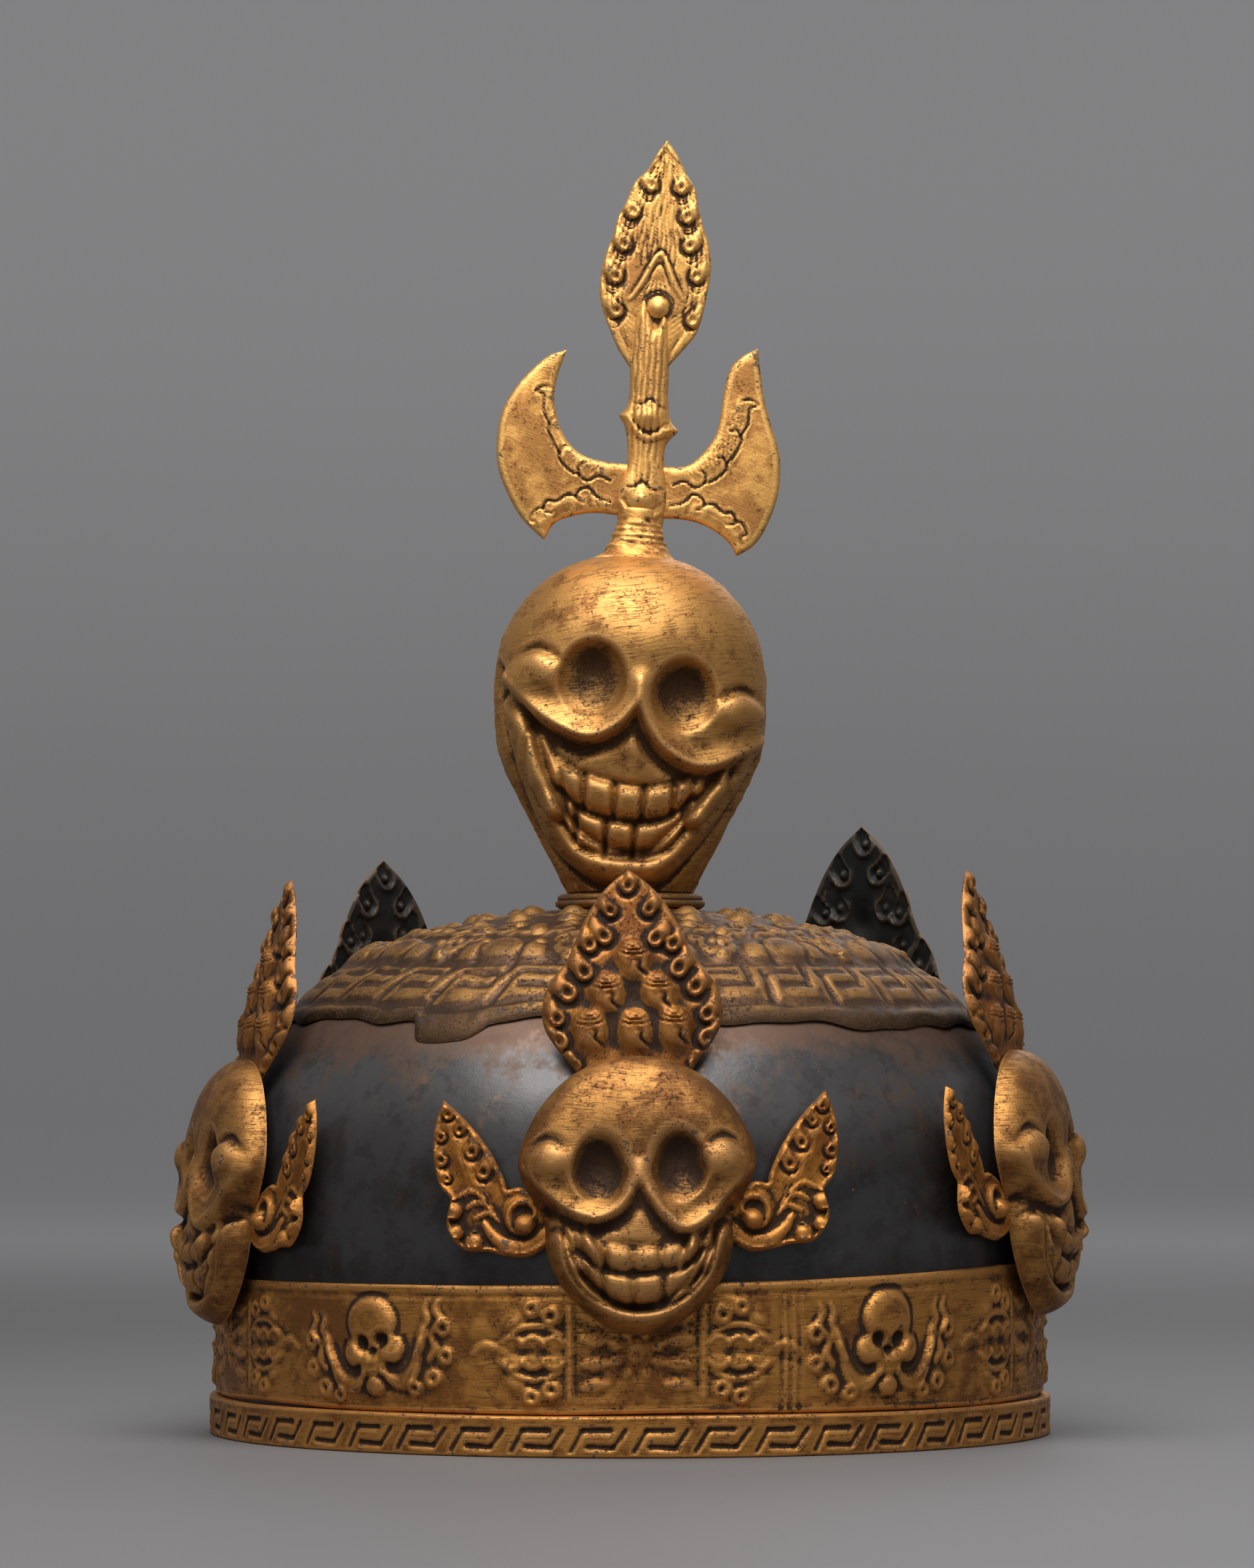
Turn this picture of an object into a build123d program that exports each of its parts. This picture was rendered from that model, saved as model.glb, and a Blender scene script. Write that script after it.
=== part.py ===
from build123d import *

import os
from math import acos, asin, atan2, cos, degrees, exp, hypot, pi, radians, sin, sqrt, tan

# Skull crown of gilded repousse copper: a dark bowl worn on the head, a chased cap over it,
# two chased bands round its foot, five skull plaques and a skull and trident finial on top.
# Millimetres. +Z is up, the crown faces -Y, and the origin is the centre of the foot's rim.

# Copper sheet and the small gaps between one piece and the next
sheet = 1.2
seat_gap = 0.15
hollow_gap = 0.4

# Bowl: a straight wall, a shoulder arc and a flatter crown arc
bowl_radius = 103.0
bowl_wall_height = 60.0
bowl_height = 131.0
crown_arc_radius = 200.0

# Foot rim with its incised key fret
rim_thickness = 2.8
rim_height = 9.8
fret_count = 45
fret_depth = 0.7
fret_stroke = 1.1

# Chased band above the rim
band_height = 30.9
band_border = 2.4
band_relief = 1.3
band_motif_count = 5
small_skull_width = 14.0
small_skull_height = 23.0
vajra_length = 44.0
vajra_height = 25.0

# Chased cap over the crown of the bowl
cap_radius = 88.0
cap_relief = 1.0
cap_border = 2.0
cap_fret_width = 11.0
cap_fret_count = 30
cap_fret_stroke = 1.8
cap_petal_radius = 4.6
cap_boss_radius = 2.6

# Skull plaques: a hollow skull, a crest behind its crown and two wings behind its cheeks
skull_width = 56.0
skull_height = 66.0
skull_depth = 11.0
skull_lean = 6.2
chin_radius = 106.9
chin_height = 29.0
crest_width = 43.0
crest_height = 52.0
crest_foot_depth = 6.0
crest_jewel_radius = 3.4
crest_curl_radius = 1.7
wing_reach = 28.5
wing_height = 38.0
wing_root = 20.3
wing_low = 19.3
wing_sweep = 12.0
pin_radius = 3.0
pin_height = 51.0
pin_reach = 24.0

# Finial: collar, round skull and trident
collar_radius = 19.0
collar_top = 135.6
collar_fillet = 1.5
finial_width = 69.0
finial_height = 85.8
finial_face_depth = 30.0
finial_back_depth = 27.0
finial_roll = 4.5
finial_relief = 11.0
trident_height = 106.6
trident_lean = 3.9
trident_offset = 1.6
trident_reach = 37.5
blade_width = 28.2
blade_thickness = 3.4
stem_width = 9.8
stem_thickness = 7.4
arm_thickness = 3.0
trident_boss_radius = 3.2
trident_curl_radius = 1.5
neck_radius = 7.4
neck_height = 12.0

# Plaques: azimuth seen from above, positive towards +X, with the hand-set differences in the photo
plaques = [
    # name, azimuth, raise, roll, crest_lean, crest_size
    ("front", 1.0, 0.0, 1.5, 14.0, 1.00),
    ("right", 72.0, 1.5, -1.0, 14.0, 1.00),
    ("back_right", 141.0, 3.5, 0.0, 1.0, 1.25),
    ("back_left", -138.0, -1.5, 0.0, 2.0, 1.16),
    ("left", -72.0, -1.0, 0.0, 13.0, 1.00),
]

# Skull outline: half width as a share of half the skull's width, at shares of its height
skull_outline = [
    # height, half_width
    (0.00, 0.00),
    (0.02, 0.24),
    (0.08, 0.45),
    (0.16, 0.63),
    (0.24, 0.74),
    (0.32, 0.79),
    (0.42, 0.80),
    (0.52, 0.93),
    (0.60, 1.00),
    (0.66, 0.99),
    (0.74, 0.92),
    (0.83, 0.79),
    (0.92, 0.58),
    (0.98, 0.31),
    (1.00, 0.00),
]

# Round skull: half width as a share of half its width, and depth as a share of its full depth
finial_sections = [
    # height, half_width, depth
    (0.00, 0.46, 0.46),
    (0.07, 0.55, 0.60),
    (0.14, 0.64, 0.70),
    (0.22, 0.74, 0.78),
    (0.32, 0.87, 0.86),
    (0.40, 0.955, 0.90),
    (0.48, 0.99, 0.94),
    (0.56, 1.00, 0.98),
    (0.66, 0.99, 1.00),
    (0.75, 0.945, 0.97),
    (0.84, 0.83, 0.86),
    (0.92, 0.65, 0.68),
    (0.97, 0.45, 0.48),
    (1.00, 0.22, 0.24),
]

# Face: bumps and hollows as shares of half the width, of the height and of the depth
face_lobes = [
    # across, up, reach_across, reach_up, rise
    (-0.32, 0.590, 0.22, 0.095, -0.46),
    (0.34, 0.590, 0.22, 0.095, -0.46),
    (-0.75, 0.610, 0.15, 0.045, 0.16),
    (0.72, 0.610, 0.15, 0.045, 0.16),
    (0.00, 0.440, 0.12, 0.050, 0.12),
    (0.00, 0.255, 0.42, 0.055, 0.16),
    (0.00, 0.160, 0.34, 0.045, 0.10),
    (0.00, 0.305, 0.45, 0.016, -0.16),
]

# Cheek and jaw ridges: points across and up, in the same shares
cheek_ridge = [
    (-0.88, 0.58), (-0.60, 0.47), (-0.35, 0.435), (0.0, 0.60), (0.37, 0.425), (0.62, 0.46), (0.88, 0.57),
]
jaw_ridge = [
    (-0.70, 0.31), (-0.60, 0.21), (-0.36, 0.10), (0.0, 0.05), (0.36, 0.10), (0.60, 0.21), (0.70, 0.31),
]
ridge_reach = 0.085
ridge_rise = 0.22

# Sunken mouth: middle, half width and half height in the same shares, and its rise
mouth_middle = 0.23
mouth_half_width = 0.52
mouth_half_height = 0.13
mouth_rise = -0.16

# How square the skull's dome is, and how soon the face fades out towards the rim
dome_power = 3.2
mask_fade = 2.2
finial_fade = 1.6
finial_middle = 0.45

# Crest: half width as a share of half its width, at shares of its height
crest_outline = [
    # height, half_width
    (0.00, 0.56),
    (0.08, 0.69),
    (0.17, 0.85),
    (0.26, 0.97),
    (0.35, 1.00),
    (0.45, 0.94),
    (0.58, 0.71),
    (0.71, 0.57),
    (0.82, 0.43),
    (1.00, 0.00),
]

# Crest curls down one edge, and the pile of jewels in its middle, as shares of half its width and its height
crest_curls = [
    # across, up
    (0.14, 0.90),
    (0.33, 0.79),
    (0.48, 0.68),
    (0.62, 0.57),
    (0.78, 0.46),
    (0.84, 0.34),
    (0.72, 0.23),
]
crest_jewels = [
    # across, up
    (-0.46, 0.30),
    (0.00, 0.29),
    (0.46, 0.30),
    (-0.24, 0.46),
    (0.24, 0.46),
    (0.00, 0.62),
]

# Wing: smooth runs from the root under the scroll, up the plume's outer edge to its tip, down its inner
# edge and back along the top of the root, as shares of the wing's reach and height
wing_runs = [
    [(-0.05, 0.10), (0.20, 0.00), (0.40, 0.01), (0.56, 0.04), (0.76, 0.06), (0.90, 0.20), (0.86, 0.38)],
    [(0.86, 0.38), (0.96, 0.48), (1.00, 0.66), (0.98, 0.84), (0.90, 1.00)],
    [(0.90, 1.00), (0.70, 0.85), (0.53, 0.68), (0.41, 0.50), (0.38, 0.42)],
    [(0.38, 0.42), (0.26, 0.43), (0.12, 0.36), (-0.05, 0.24)],
]

# Knobs of the wing's scroll: place in the same shares and size as a share of the wing's height
wing_knobs = [
    # across, up, radius
    (0.215, 0.25, 0.080),
    (0.63, 0.09, 0.062),
    (0.79, 0.15, 0.058),
    (0.78, 0.30, 0.070),
]

# Trident arms: outlines from the stem round both tips and back, as shares of the reach and the height
left_arm = [
    [(-0.05, 0.215), (-0.26, 0.220), (-0.42, 0.235), (-0.60, 0.315), (-0.63, 0.380), (-0.57, 0.480)],
    [(-0.57, 0.480), (-0.82, 0.418), (-0.98, 0.320), (-1.00, 0.260), (-0.91, 0.134), (-0.63, 0.022)],
    [(-0.63, 0.022), (-0.45, 0.084), (-0.29, 0.096), (-0.05, 0.090)],
]
right_arm = [
    [(0.05, 0.215), (0.28, 0.220), (0.40, 0.252), (0.49, 0.330), (0.53, 0.440), (0.73, 0.515)],
    [(0.73, 0.515), (0.77, 0.420), (0.88, 0.310), (0.93, 0.220), (0.86, 0.084), (0.68, 0.014)],
    [(0.68, 0.014), (0.53, 0.068), (0.32, 0.092), (0.05, 0.090)],
]

# Rings of petals and bosses on the cap
cap_rings = [
    # ring as a share of the cap's radius, count, radius of each
    (0.78, 22, cap_petal_radius),
    (0.60, 24, cap_boss_radius),
    (0.40, 16, cap_boss_radius),
]

# Blade of the trident: half width as a share of half its width, at shares of the trident's height
blade_outline = [
    # height, half_width
    (0.455, 0.30),
    (0.500, 0.60),
    (0.560, 0.86),
    (0.640, 0.99),
    (0.700, 1.00),
    (0.780, 0.86),
    (0.860, 0.66),
    (0.930, 0.40),
    (1.000, 0.00),
]
blade_curls = [
    # across, up
    (0.27, 0.888),
    (0.50, 0.820),
    (0.60, 0.744),
    (0.74, 0.668),
    (0.70, 0.575),
]

# Rings of the trident's neck: radius as a share of the neck's, at shares of its height
neck_rings = [
    # height, radius
    (-0.25, 1.22),
    (0.00, 1.12),
    (0.20, 0.92),
    (0.32, 1.00),
    (0.48, 0.84),
    (0.62, 0.92),
    (0.78, 0.80),
    (1.00, 0.78),
]

# Bosses on the trident's stem, and its pairs of thorns: height, half width and half thickness as shares
stem_bosses = [0.129, 0.330]
stem_profile = [
    # height, half_width
    (0.09, 0.86),
    (0.16, 0.92),
    (0.22, 1.02),
    (0.29, 0.98),
    (0.33, 1.56),
    (0.37, 0.98),
    (0.43, 0.98),
    (0.50, 0.90),
    (0.56, 0.55),
    (0.60, 0.00),
]

# Strokes of the key frets: corners of each, as shares of one repeat's length and of the strip's height
rim_hooks = [
    [(-0.36, 0.22), (-0.10, 0.72), (0.34, 0.72)],
    [(-0.02, 0.30), (0.42, 0.30), (0.62, 0.70)],
]
cap_hooks = [
    [(-0.40, -0.42), (-0.40, 0.34), (0.22, 0.34)],
    [(-0.18, -0.06), (0.36, -0.06), (0.36, 0.42)],
]

# Motifs raised on the band beside each small skull, as shares of the small skull's width and height
scroll_rings = [
    # across, up, radius
    (0.85, -0.28, 0.30),
    (1.35, -0.05, 0.24),
    (1.55, -0.38, 0.17),
]

# Faceting of the hammered skulls
skull_cells = 18
finial_columns = 34
finial_rows = 21
finial_row_power = 1.15


def between(rows, at, column=1):
    """Value of a table's column at a share, in a straight line between its rows."""
    for low, high in zip(rows, rows[1:]):
        if at <= high[0]:
            part = (at - low[0]) / (high[0] - low[0])
            return low[column] + part * (high[column] - low[column])
    return rows[-1][column]


def distance_to_path(across, up, path, aspect):
    """Shortest distance from a point to a path of straight runs, in shares of half the width."""
    best = aspect
    for (x0, y0), (x1, y1) in zip(path, path[1:]):
        run_x, run_y = x1 - x0, (y1 - y0) * aspect
        off_x, off_y = across - x0, (up - y0) * aspect
        along = (off_x * run_x + off_y * run_y) / (run_x**2 + run_y**2)
        along = min(1.0, max(0.0, along))
        best = min(best, hypot(off_x - along * run_x, off_y - along * run_y))
    return best


def face_relief(across, up, aspect):
    """Rise of the face above the plain skull, as a share of the skull's depth."""
    rise = 0.0
    for lobe_across, lobe_up, reach_across, reach_up, lobe_rise in face_lobes:
        off = ((across - lobe_across) / reach_across) ** 2 + ((up - lobe_up) / reach_up) ** 2
        rise += lobe_rise * exp(-(off**1.5))
    for path in (cheek_ridge, jaw_ridge):
        rise += ridge_rise * exp(-((distance_to_path(across, up, path, aspect) / ridge_reach) ** 2))
    in_mouth = exp(-((across / mouth_half_width) ** 4) - ((up - mouth_middle) / mouth_half_height) ** 4)
    return rise + mouth_rise * in_mouth


def faceted_solid(points, triangles):
    """Closed solid from corner points and triples of point numbers."""
    faces = [Face(Wire.make_polygon([points[i] for i in corners])) for corners in triangles]
    return Solid(Shell(faces))


def grid_triangles(rows, columns, first, flip, wrap=False):
    """Two triangles for each cell of a grid of points that starts at number first."""
    triangles = []
    for row in range(rows - 1):
        for column in range(columns if wrap else columns - 1):
            beside = (column + 1) % columns
            a = first + row * columns + column
            b = first + row * columns + beside
            c, d = b + columns, a + columns
            for corners in ((a, b, c), (a, c, d)):
                triangles.append(corners[::-1] if flip else corners)
    return triangles


def outline_reach(angle):
    """Distance from the middle of the skull's outline to its edge, at an angle from +X."""
    polar = []
    for up, half in skull_outline:
        x, y = half * skull_width / 2, (up - 1 / 2) * skull_height
        polar.append((atan2(y, x), hypot(x, y)))
    folded = asin(min(1.0, max(-1.0, sin(angle))))
    return between(polar, folded)


def mask_point(square_x, square_y, inset):
    """Point of the hollow skull's face, inset mm inside it: x across, y up from the chin, z out."""
    disc_x = square_x * sqrt(1 - square_y**2 / 2)
    disc_y = square_y * sqrt(1 - square_x**2 / 2)
    share = min(1.0, hypot(disc_x, disc_y))
    angle = atan2(disc_y, disc_x)
    spread = sin(share * pi / 2) if share < 1 else 1.0
    reach = spread * (outline_reach(angle) - inset)
    across = reach * cos(angle)
    up = skull_height / 2 + reach * sin(angle)
    dome = sqrt(max(0.0, 1 - spread**dome_power))
    aspect = 2 * skull_height / skull_width
    relief = face_relief(2 * across / skull_width, up / skull_height, aspect)
    fade = min(1.0, mask_fade * dome)
    out = skull_depth * (dome + relief * fade) - inset * fade
    return (across, up, max(out, 0.0) if share < 1 else 0.0)


def mask_solid():
    """Hollow hammered skull: an outer and an inner grid joined round the rim."""
    count = skull_cells + 1
    steps = [2 * i / skull_cells - 1 for i in range(count)]
    points = [mask_point(x, y, 0.0) for y in steps for x in steps]
    points += [mask_point(x, y, sheet) for y in steps for x in steps]
    inner = count * count
    triangles = grid_triangles(count, count, 0, False) + grid_triangles(count, count, inner, True)
    loop = list(range(count))
    loop += [row * count + count - 1 for row in range(1, count)]
    loop += [inner - 1 - i for i in range(1, count)]
    loop += [row * count for row in range(count - 2, 0, -1)]
    for a, b in zip(loop, loop[1:] + loop[:1]):
        triangles += [(b, a, a + inner), (b, a + inner, b + inner)]
    return faceted_solid(points, triangles)


def finial_point(turn, up, inset):
    """Point of the round skull, inset mm inside it. turn is 0 at the middle of the face."""
    half = between(finial_sections, up) * finial_width / 2 - inset
    depth_share = between(finial_sections, up, 2)
    depth = (finial_face_depth if cos(turn) > 0 else finial_back_depth) * depth_share - inset
    across = half * sin(turn)
    roll = radians(finial_roll)
    share_x = 2 * across / finial_width
    share_y = (up - finial_middle) * finial_height * 2 / finial_width
    face_x = share_x * cos(roll) - share_y * sin(roll)
    face_y = finial_middle + (share_x * sin(roll) + share_y * cos(roll)) * finial_width / 2 / finial_height
    aspect = 2 * finial_height / finial_width
    out = depth * cos(turn)
    if cos(turn) > 0:
        out += finial_relief * face_relief(face_x, face_y, aspect) * min(1.0, finial_fade * cos(turn))
    return (across, -out, up * finial_height - (inset if up == 1 else 0))


def finial_solid():
    """Hollow round skull, closed over its crown and open at the neck."""
    turns = [2 * pi * i / finial_columns for i in range(finial_columns)]
    ups = [1 - (1 - i / finial_rows) ** finial_row_power for i in range(finial_rows + 1)]
    count = len(turns) * len(ups)
    points = [finial_point(turn, up, 0.0) for up in ups for turn in turns]
    points += [finial_point(turn, up, sheet) for up in ups for turn in turns]
    triangles = grid_triangles(len(ups), len(turns), 0, False, wrap=True)
    triangles += grid_triangles(len(ups), len(turns), count, True, wrap=True)
    for column in range(finial_columns):
        a, b = column, (column + 1) % finial_columns
        triangles += [(b, a, a + count), (b, a + count, b + count)]
    for top, flip in ((count - finial_columns, False), (2 * count - finial_columns, True)):
        middle = len(points)
        points.append((0, 0, points[top][2]))
        for column in range(finial_columns):
            corners = (top + column, top + (column + 1) % finial_columns, middle)
            triangles.append(corners[::-1] if flip else corners)
    return faceted_solid(points, triangles)


# Cylinders and boxes that stand on their place, or hang below it
standing = (Align.CENTER, Align.CENTER, Align.MIN)
hanging = (Align.CENTER, Align.CENTER, Align.MAX)

# Bowl arcs: the shoulder runs tangent into the wall below it and the crown above it
crown_centre = bowl_height - crown_arc_radius
centre_drop = bowl_wall_height - crown_centre
shoulder_power = crown_arc_radius**2 - bowl_radius**2 - centre_drop**2
shoulder_radius = shoulder_power / 2 / (crown_arc_radius - bowl_radius)
shoulder_centre = bowl_radius - shoulder_radius
join_angle = degrees(atan2(centre_drop, shoulder_centre))


def crown_height(radius, out):
    """Height of the surface out mm outside the bowl, at a distance from the axis."""
    arc = crown_arc_radius + out
    if radius <= arc * cos(radians(join_angle)):
        return crown_centre + sqrt(arc**2 - radius**2)
    arc = shoulder_radius + out
    return bowl_wall_height + sqrt(arc**2 - (radius - shoulder_centre) ** 2)


def dome_part(out, low):
    """Filled bowl whose surface is out mm outside the real one, from a low plane to its crown."""
    with BuildPart() as dome:
        with BuildSketch(Plane.XZ):
            with BuildLine():
                centre = (shoulder_centre, bowl_wall_height)
                shoulder = CenterArc(centre, shoulder_radius + out, 0, join_angle)
                crown = CenterArc((0, crown_centre), crown_arc_radius + out, join_angle, 90 - join_angle)
                Polyline(crown @ 1, (0, low), (bowl_radius + out, low), shoulder @ 0)
            make_face()
        revolve(axis=Axis.Z)
    return dome.part


def crown_shell(outside, inside, edge_radius):
    """Sheet over the crown between two distances outside the bowl, out to an edge radius."""
    with BuildPart() as shell:
        with Locations((0, 0, bowl_wall_height)):
            Cylinder(edge_radius, bowl_height, align=standing)
        add(dome_part(outside, 0), mode=Mode.INTERSECT)
        add(dome_part(inside, -sheet), mode=Mode.SUBTRACT)
    return shell.part


def ring_part(inner, outer, low, high):
    """Plain ring between two radii and two heights."""
    with BuildPart() as ring:
        with BuildSketch(Plane.XY.offset(low)):
            Circle(outer)
            Circle(inner, mode=Mode.SUBTRACT)
        extrude(amount=high - low)
    return ring.part


def hook_strokes(plane, hooks, pitch, height, stroke, amount):
    """One repeat of a key fret: bent strokes drawn on a plane and extruded through it."""
    with BuildPart() as strokes:
        with BuildSketch(plane):
            for hook in hooks:
                with BuildLine():
                    Polyline(*[(across * pitch, up * height) for across, up in hook])
                    offset(amount=stroke / 2, side=Side.BOTH)
                make_face()
        extrude(amount=amount)
    return strokes.part


def spline_face(runs):
    """Flat face inside smooth curves that follow one another from corner to corner, closed by a line."""
    with BuildSketch() as face:
        with BuildLine():
            for run in runs:
                Spline(*run)
            Line(runs[-1][-1], runs[0][0])
        make_face()
    return face.sketch


def mirrored_face(rows, width, height, smooth):
    """Flat face of a table of half widths, the same on both sides of the Y axis."""
    right = [(half * width / 2, at * height) for at, half in rows]
    left = [(-x, y) for x, y in reversed(right)]
    with BuildSketch() as face:
        with BuildLine():
            for side in (right, left):
                if smooth:
                    Spline(*side)
                else:
                    Polyline(*side)
            if right[0] != left[-1]:
                Line(left[-1], right[0])
        make_face()
    return face.sketch


os.makedirs("parts", exist_ok=True)

# Bowl worn on the head, closed at the top and open at the foot
with BuildPart() as bowl:
    add(dome_part(0, 0))
    add(dome_part(-sheet, -sheet), mode=Mode.SUBTRACT)
bowl.part.label = "bowl"
export_step(bowl.part, "parts/bowl.step")

# Foot rim: a thick strip bent round the bowl, its outside cut with a running key fret
rim_inner = bowl_radius + seat_gap
rim_outer = rim_inner + rim_thickness
fret_pitch = 2 * pi * rim_outer / fret_count
rim_face = Plane.XZ.offset(rim_outer - fret_depth)
rim_cutter = hook_strokes(rim_face, rim_hooks, fret_pitch, rim_height, fret_stroke, 2 * fret_depth)
with BuildPart() as foot_rim:
    add(ring_part(rim_inner, rim_outer, 0, rim_height))
    with PolarLocations(0, fret_count):
        add(rim_cutter, mode=Mode.SUBTRACT)
foot_rim.part.label = "foot_rim"
export_step(foot_rim.part, "parts/foot_rim.step")

# Chased band: a strip round the wall, with small skulls, scrolls and thunderbolt crosses raised on it
band_low = rim_height + seat_gap
band_high = band_low + band_height
band_inner = bowl_radius + seat_gap
band_outer = band_inner + sheet
band_middle = (band_low + band_high) / 2
sector = 360 / band_motif_count
motif_plane = Plane.XZ.offset(band_outer * cos(radians(sector / 2)))
motif_ring = ring_part(band_outer - sheet / 2, band_outer + band_relief, band_low, band_high)

with BuildPart() as small_skull:
    with BuildSketch(motif_plane):
        with Locations((0, band_middle + 0.20 * small_skull_height)):
            Circle(small_skull_width / 2)
        with Locations((0, band_middle - 0.14 * small_skull_height)):
            Ellipse(0.46 * small_skull_width, 0.17 * small_skull_height)
        with Locations((0, band_middle - 0.36 * small_skull_height)):
            Ellipse(0.26 * small_skull_width, 0.14 * small_skull_height)
        for side in (-1, 1):
            with Locations((side * 0.2 * small_skull_width, band_middle + 0.02 * small_skull_height)):
                Circle(small_skull_width / 9, mode=Mode.SUBTRACT)
            for across, up, radius in scroll_rings:
                place = (side * across * small_skull_width, band_middle + up * small_skull_height)
                with Locations(place):
                    Circle(radius * small_skull_width)
                    Circle(radius * small_skull_width / 2, mode=Mode.SUBTRACT)
    extrude(amount=band_outer)
    add(motif_ring, mode=Mode.INTERSECT)

with BuildPart() as thunderbolt:
    with BuildSketch(motif_plane):
        with Locations((0, band_middle)):
            Circle(vajra_height / 8)
        for turn, length in ((0, vajra_length), (90, vajra_height), (180, vajra_length), (270, vajra_height)):
            with Locations(Location((0, band_middle, 0), (0, 0, turn))):
                with Locations((0.30 * length, 0)):
                    Ellipse(0.17 * length, 0.13 * vajra_height)
                for side in (-1, 1):
                    with Locations((0.40 * length, side * 0.14 * vajra_height)):
                        Circle(vajra_height / 12)
    extrude(amount=band_outer)
    add(motif_ring, mode=Mode.INTERSECT)

with BuildPart() as skull_band:
    add(ring_part(band_inner, band_outer, band_low, band_high))
    add(ring_part(band_inner, band_outer + band_relief / 2, band_low, band_low + band_border))
    add(ring_part(band_inner, band_outer + band_relief / 2, band_high - band_border, band_high))
    with PolarLocations(0, band_motif_count):
        add(thunderbolt.part)
    with PolarLocations(0, band_motif_count, start_angle=sector / 2):
        add(small_skull.part)
skull_band.part.label = "skull_band"
export_step(skull_band.part, "parts/skull_band.step")

# Chased cap: a sheet over the crown with a raised key fret, a ring of petals and two rings of bosses
cap_inside = seat_gap
cap_outside = cap_inside + sheet
cap_fret_radius = cap_radius - cap_border - cap_fret_width / 2
cap_pitch = 2 * pi * cap_fret_radius / cap_fret_count
cap_plane = Plane((0, -cap_fret_radius, bowl_wall_height))
cap_stroke = hook_strokes(cap_plane, cap_hooks, cap_pitch, cap_fret_width, cap_fret_stroke, bowl_height)
with BuildPart() as cap_fret:
    with PolarLocations(0, cap_fret_count):
        add(cap_stroke)
    add(crown_shell(cap_outside + cap_relief, cap_inside + sheet / 2, cap_radius), mode=Mode.INTERSECT)

with BuildPart() as cap:
    add(crown_shell(cap_outside, cap_inside, cap_radius))
    add(cap_fret.part)
    for ring, count, size in cap_rings:
        radius = ring * cap_radius
        with PolarLocations(radius, count):
            with Locations((0, 0, crown_height(radius, cap_outside) - size / 2)):
                Sphere(size)
    add(dome_part(cap_inside, -sheet), mode=Mode.SUBTRACT)
cap.part.label = "cap"
export_step(cap.part, "parts/cap.step")

# Collar between the cap and the round skull
collar_low = crown_height(collar_radius, cap_outside)
with BuildPart() as collar:
    with Locations((0, 0, bowl_wall_height)):
        Cylinder(collar_radius, collar_top - bowl_wall_height, align=standing)
    fillet(collar.edges().sort_by(Axis.Z)[-1], min(collar_fillet, (collar_top - collar_low) / 2))
    add(dome_part(cap_outside + seat_gap, 0), mode=Mode.SUBTRACT)
collar.part.label = "collar"
export_step(collar.part, "parts/collar.step")

# Round skull of the finial
with BuildPart() as round_skull:
    with Locations((0, 0, collar_top + seat_gap)):
        add(finial_solid())
round_skull.part.label = "round_skull"
export_step(round_skull.part, "parts/round_skull.step")

# Trident in its own leaning plane: x across, y up from its foot
trident_foot = collar_top + finial_height + 2 * seat_gap
lean = radians(trident_lean)
trident_plane = Plane((trident_offset, 0, trident_foot), x_dir=(cos(lean), 0, -sin(lean)), z_dir=(0, -1, 0))
with BuildPart() as trident:
    with BuildSketch(trident_plane):
        for arm in (left_arm, right_arm):
            add(spline_face([[(x * trident_reach, y * trident_height) for x, y in run] for run in arm]))
    extrude(amount=arm_thickness / 2, both=True)
    with BuildSketch(trident_plane):
        add(mirrored_face(blade_outline, blade_width, trident_height, True))
    extrude(amount=blade_thickness / 2, both=True)
    with BuildSketch(trident_plane):
        add(mirrored_face(stem_profile, stem_width, trident_height, False))
    extrude(amount=stem_thickness / 2, both=True)
    with Locations(trident_plane.location):
        for at in stem_bosses:
            with Locations((0, at * trident_height, stem_thickness / 2)):
                Sphere(trident_boss_radius)
        for across, at in blade_curls:
            for side in (-1, 1):
                with Locations((side * across * blade_width / 2, at * trident_height, blade_thickness / 2)):
                    Sphere(trident_curl_radius)
    with BuildSketch(trident_plane):
        with BuildLine():
            rings = [(share * neck_radius, at * neck_height) for at, share in neck_rings]
            Polyline((0, rings[0][1]), *rings, (0, rings[-1][1]))
            Line((0, rings[-1][1]), (0, rings[0][1]))
        make_face()
    revolve(axis=Axis(trident_plane.origin, trident_plane.y_dir))
    with Locations((trident_offset, 0, trident_foot)):
        Cylinder(2 * neck_radius, neck_height, align=hanging, mode=Mode.SUBTRACT)
trident.part.label = "trident"
export_step(trident.part, "parts/trident.step")


def crest_part(size):
    """Crest plate with its foot below the origin: x across, y up, its front face on z = 0."""
    width, height, foot = size * crest_width, size * crest_height, size * crest_foot_depth
    with BuildPart() as crest:
        with BuildSketch():
            with Locations((0, -foot)):
                add(mirrored_face(crest_outline, width, height, True))
        extrude(amount=-sheet)
        for across, at in crest_jewels:
            with Locations((across * width / 2, at * height - foot, 0)):
                Sphere(size * crest_jewel_radius)
        for across, at in crest_curls:
            for side in (-1, 1):
                with Locations((side * across * width / 2, at * height - foot, 0)):
                    Sphere(size * crest_curl_radius)
        with Locations((0, 0, -sheet)):
            Box(2 * width, 2 * height, height, align=hanging, mode=Mode.SUBTRACT)
        for across, at in crest_jewels:
            with Locations((across * width / 2, at * height - foot, -sheet)):
                Sphere(size * crest_jewel_radius - sheet / 2, mode=Mode.SUBTRACT)
    return crest.part


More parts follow.
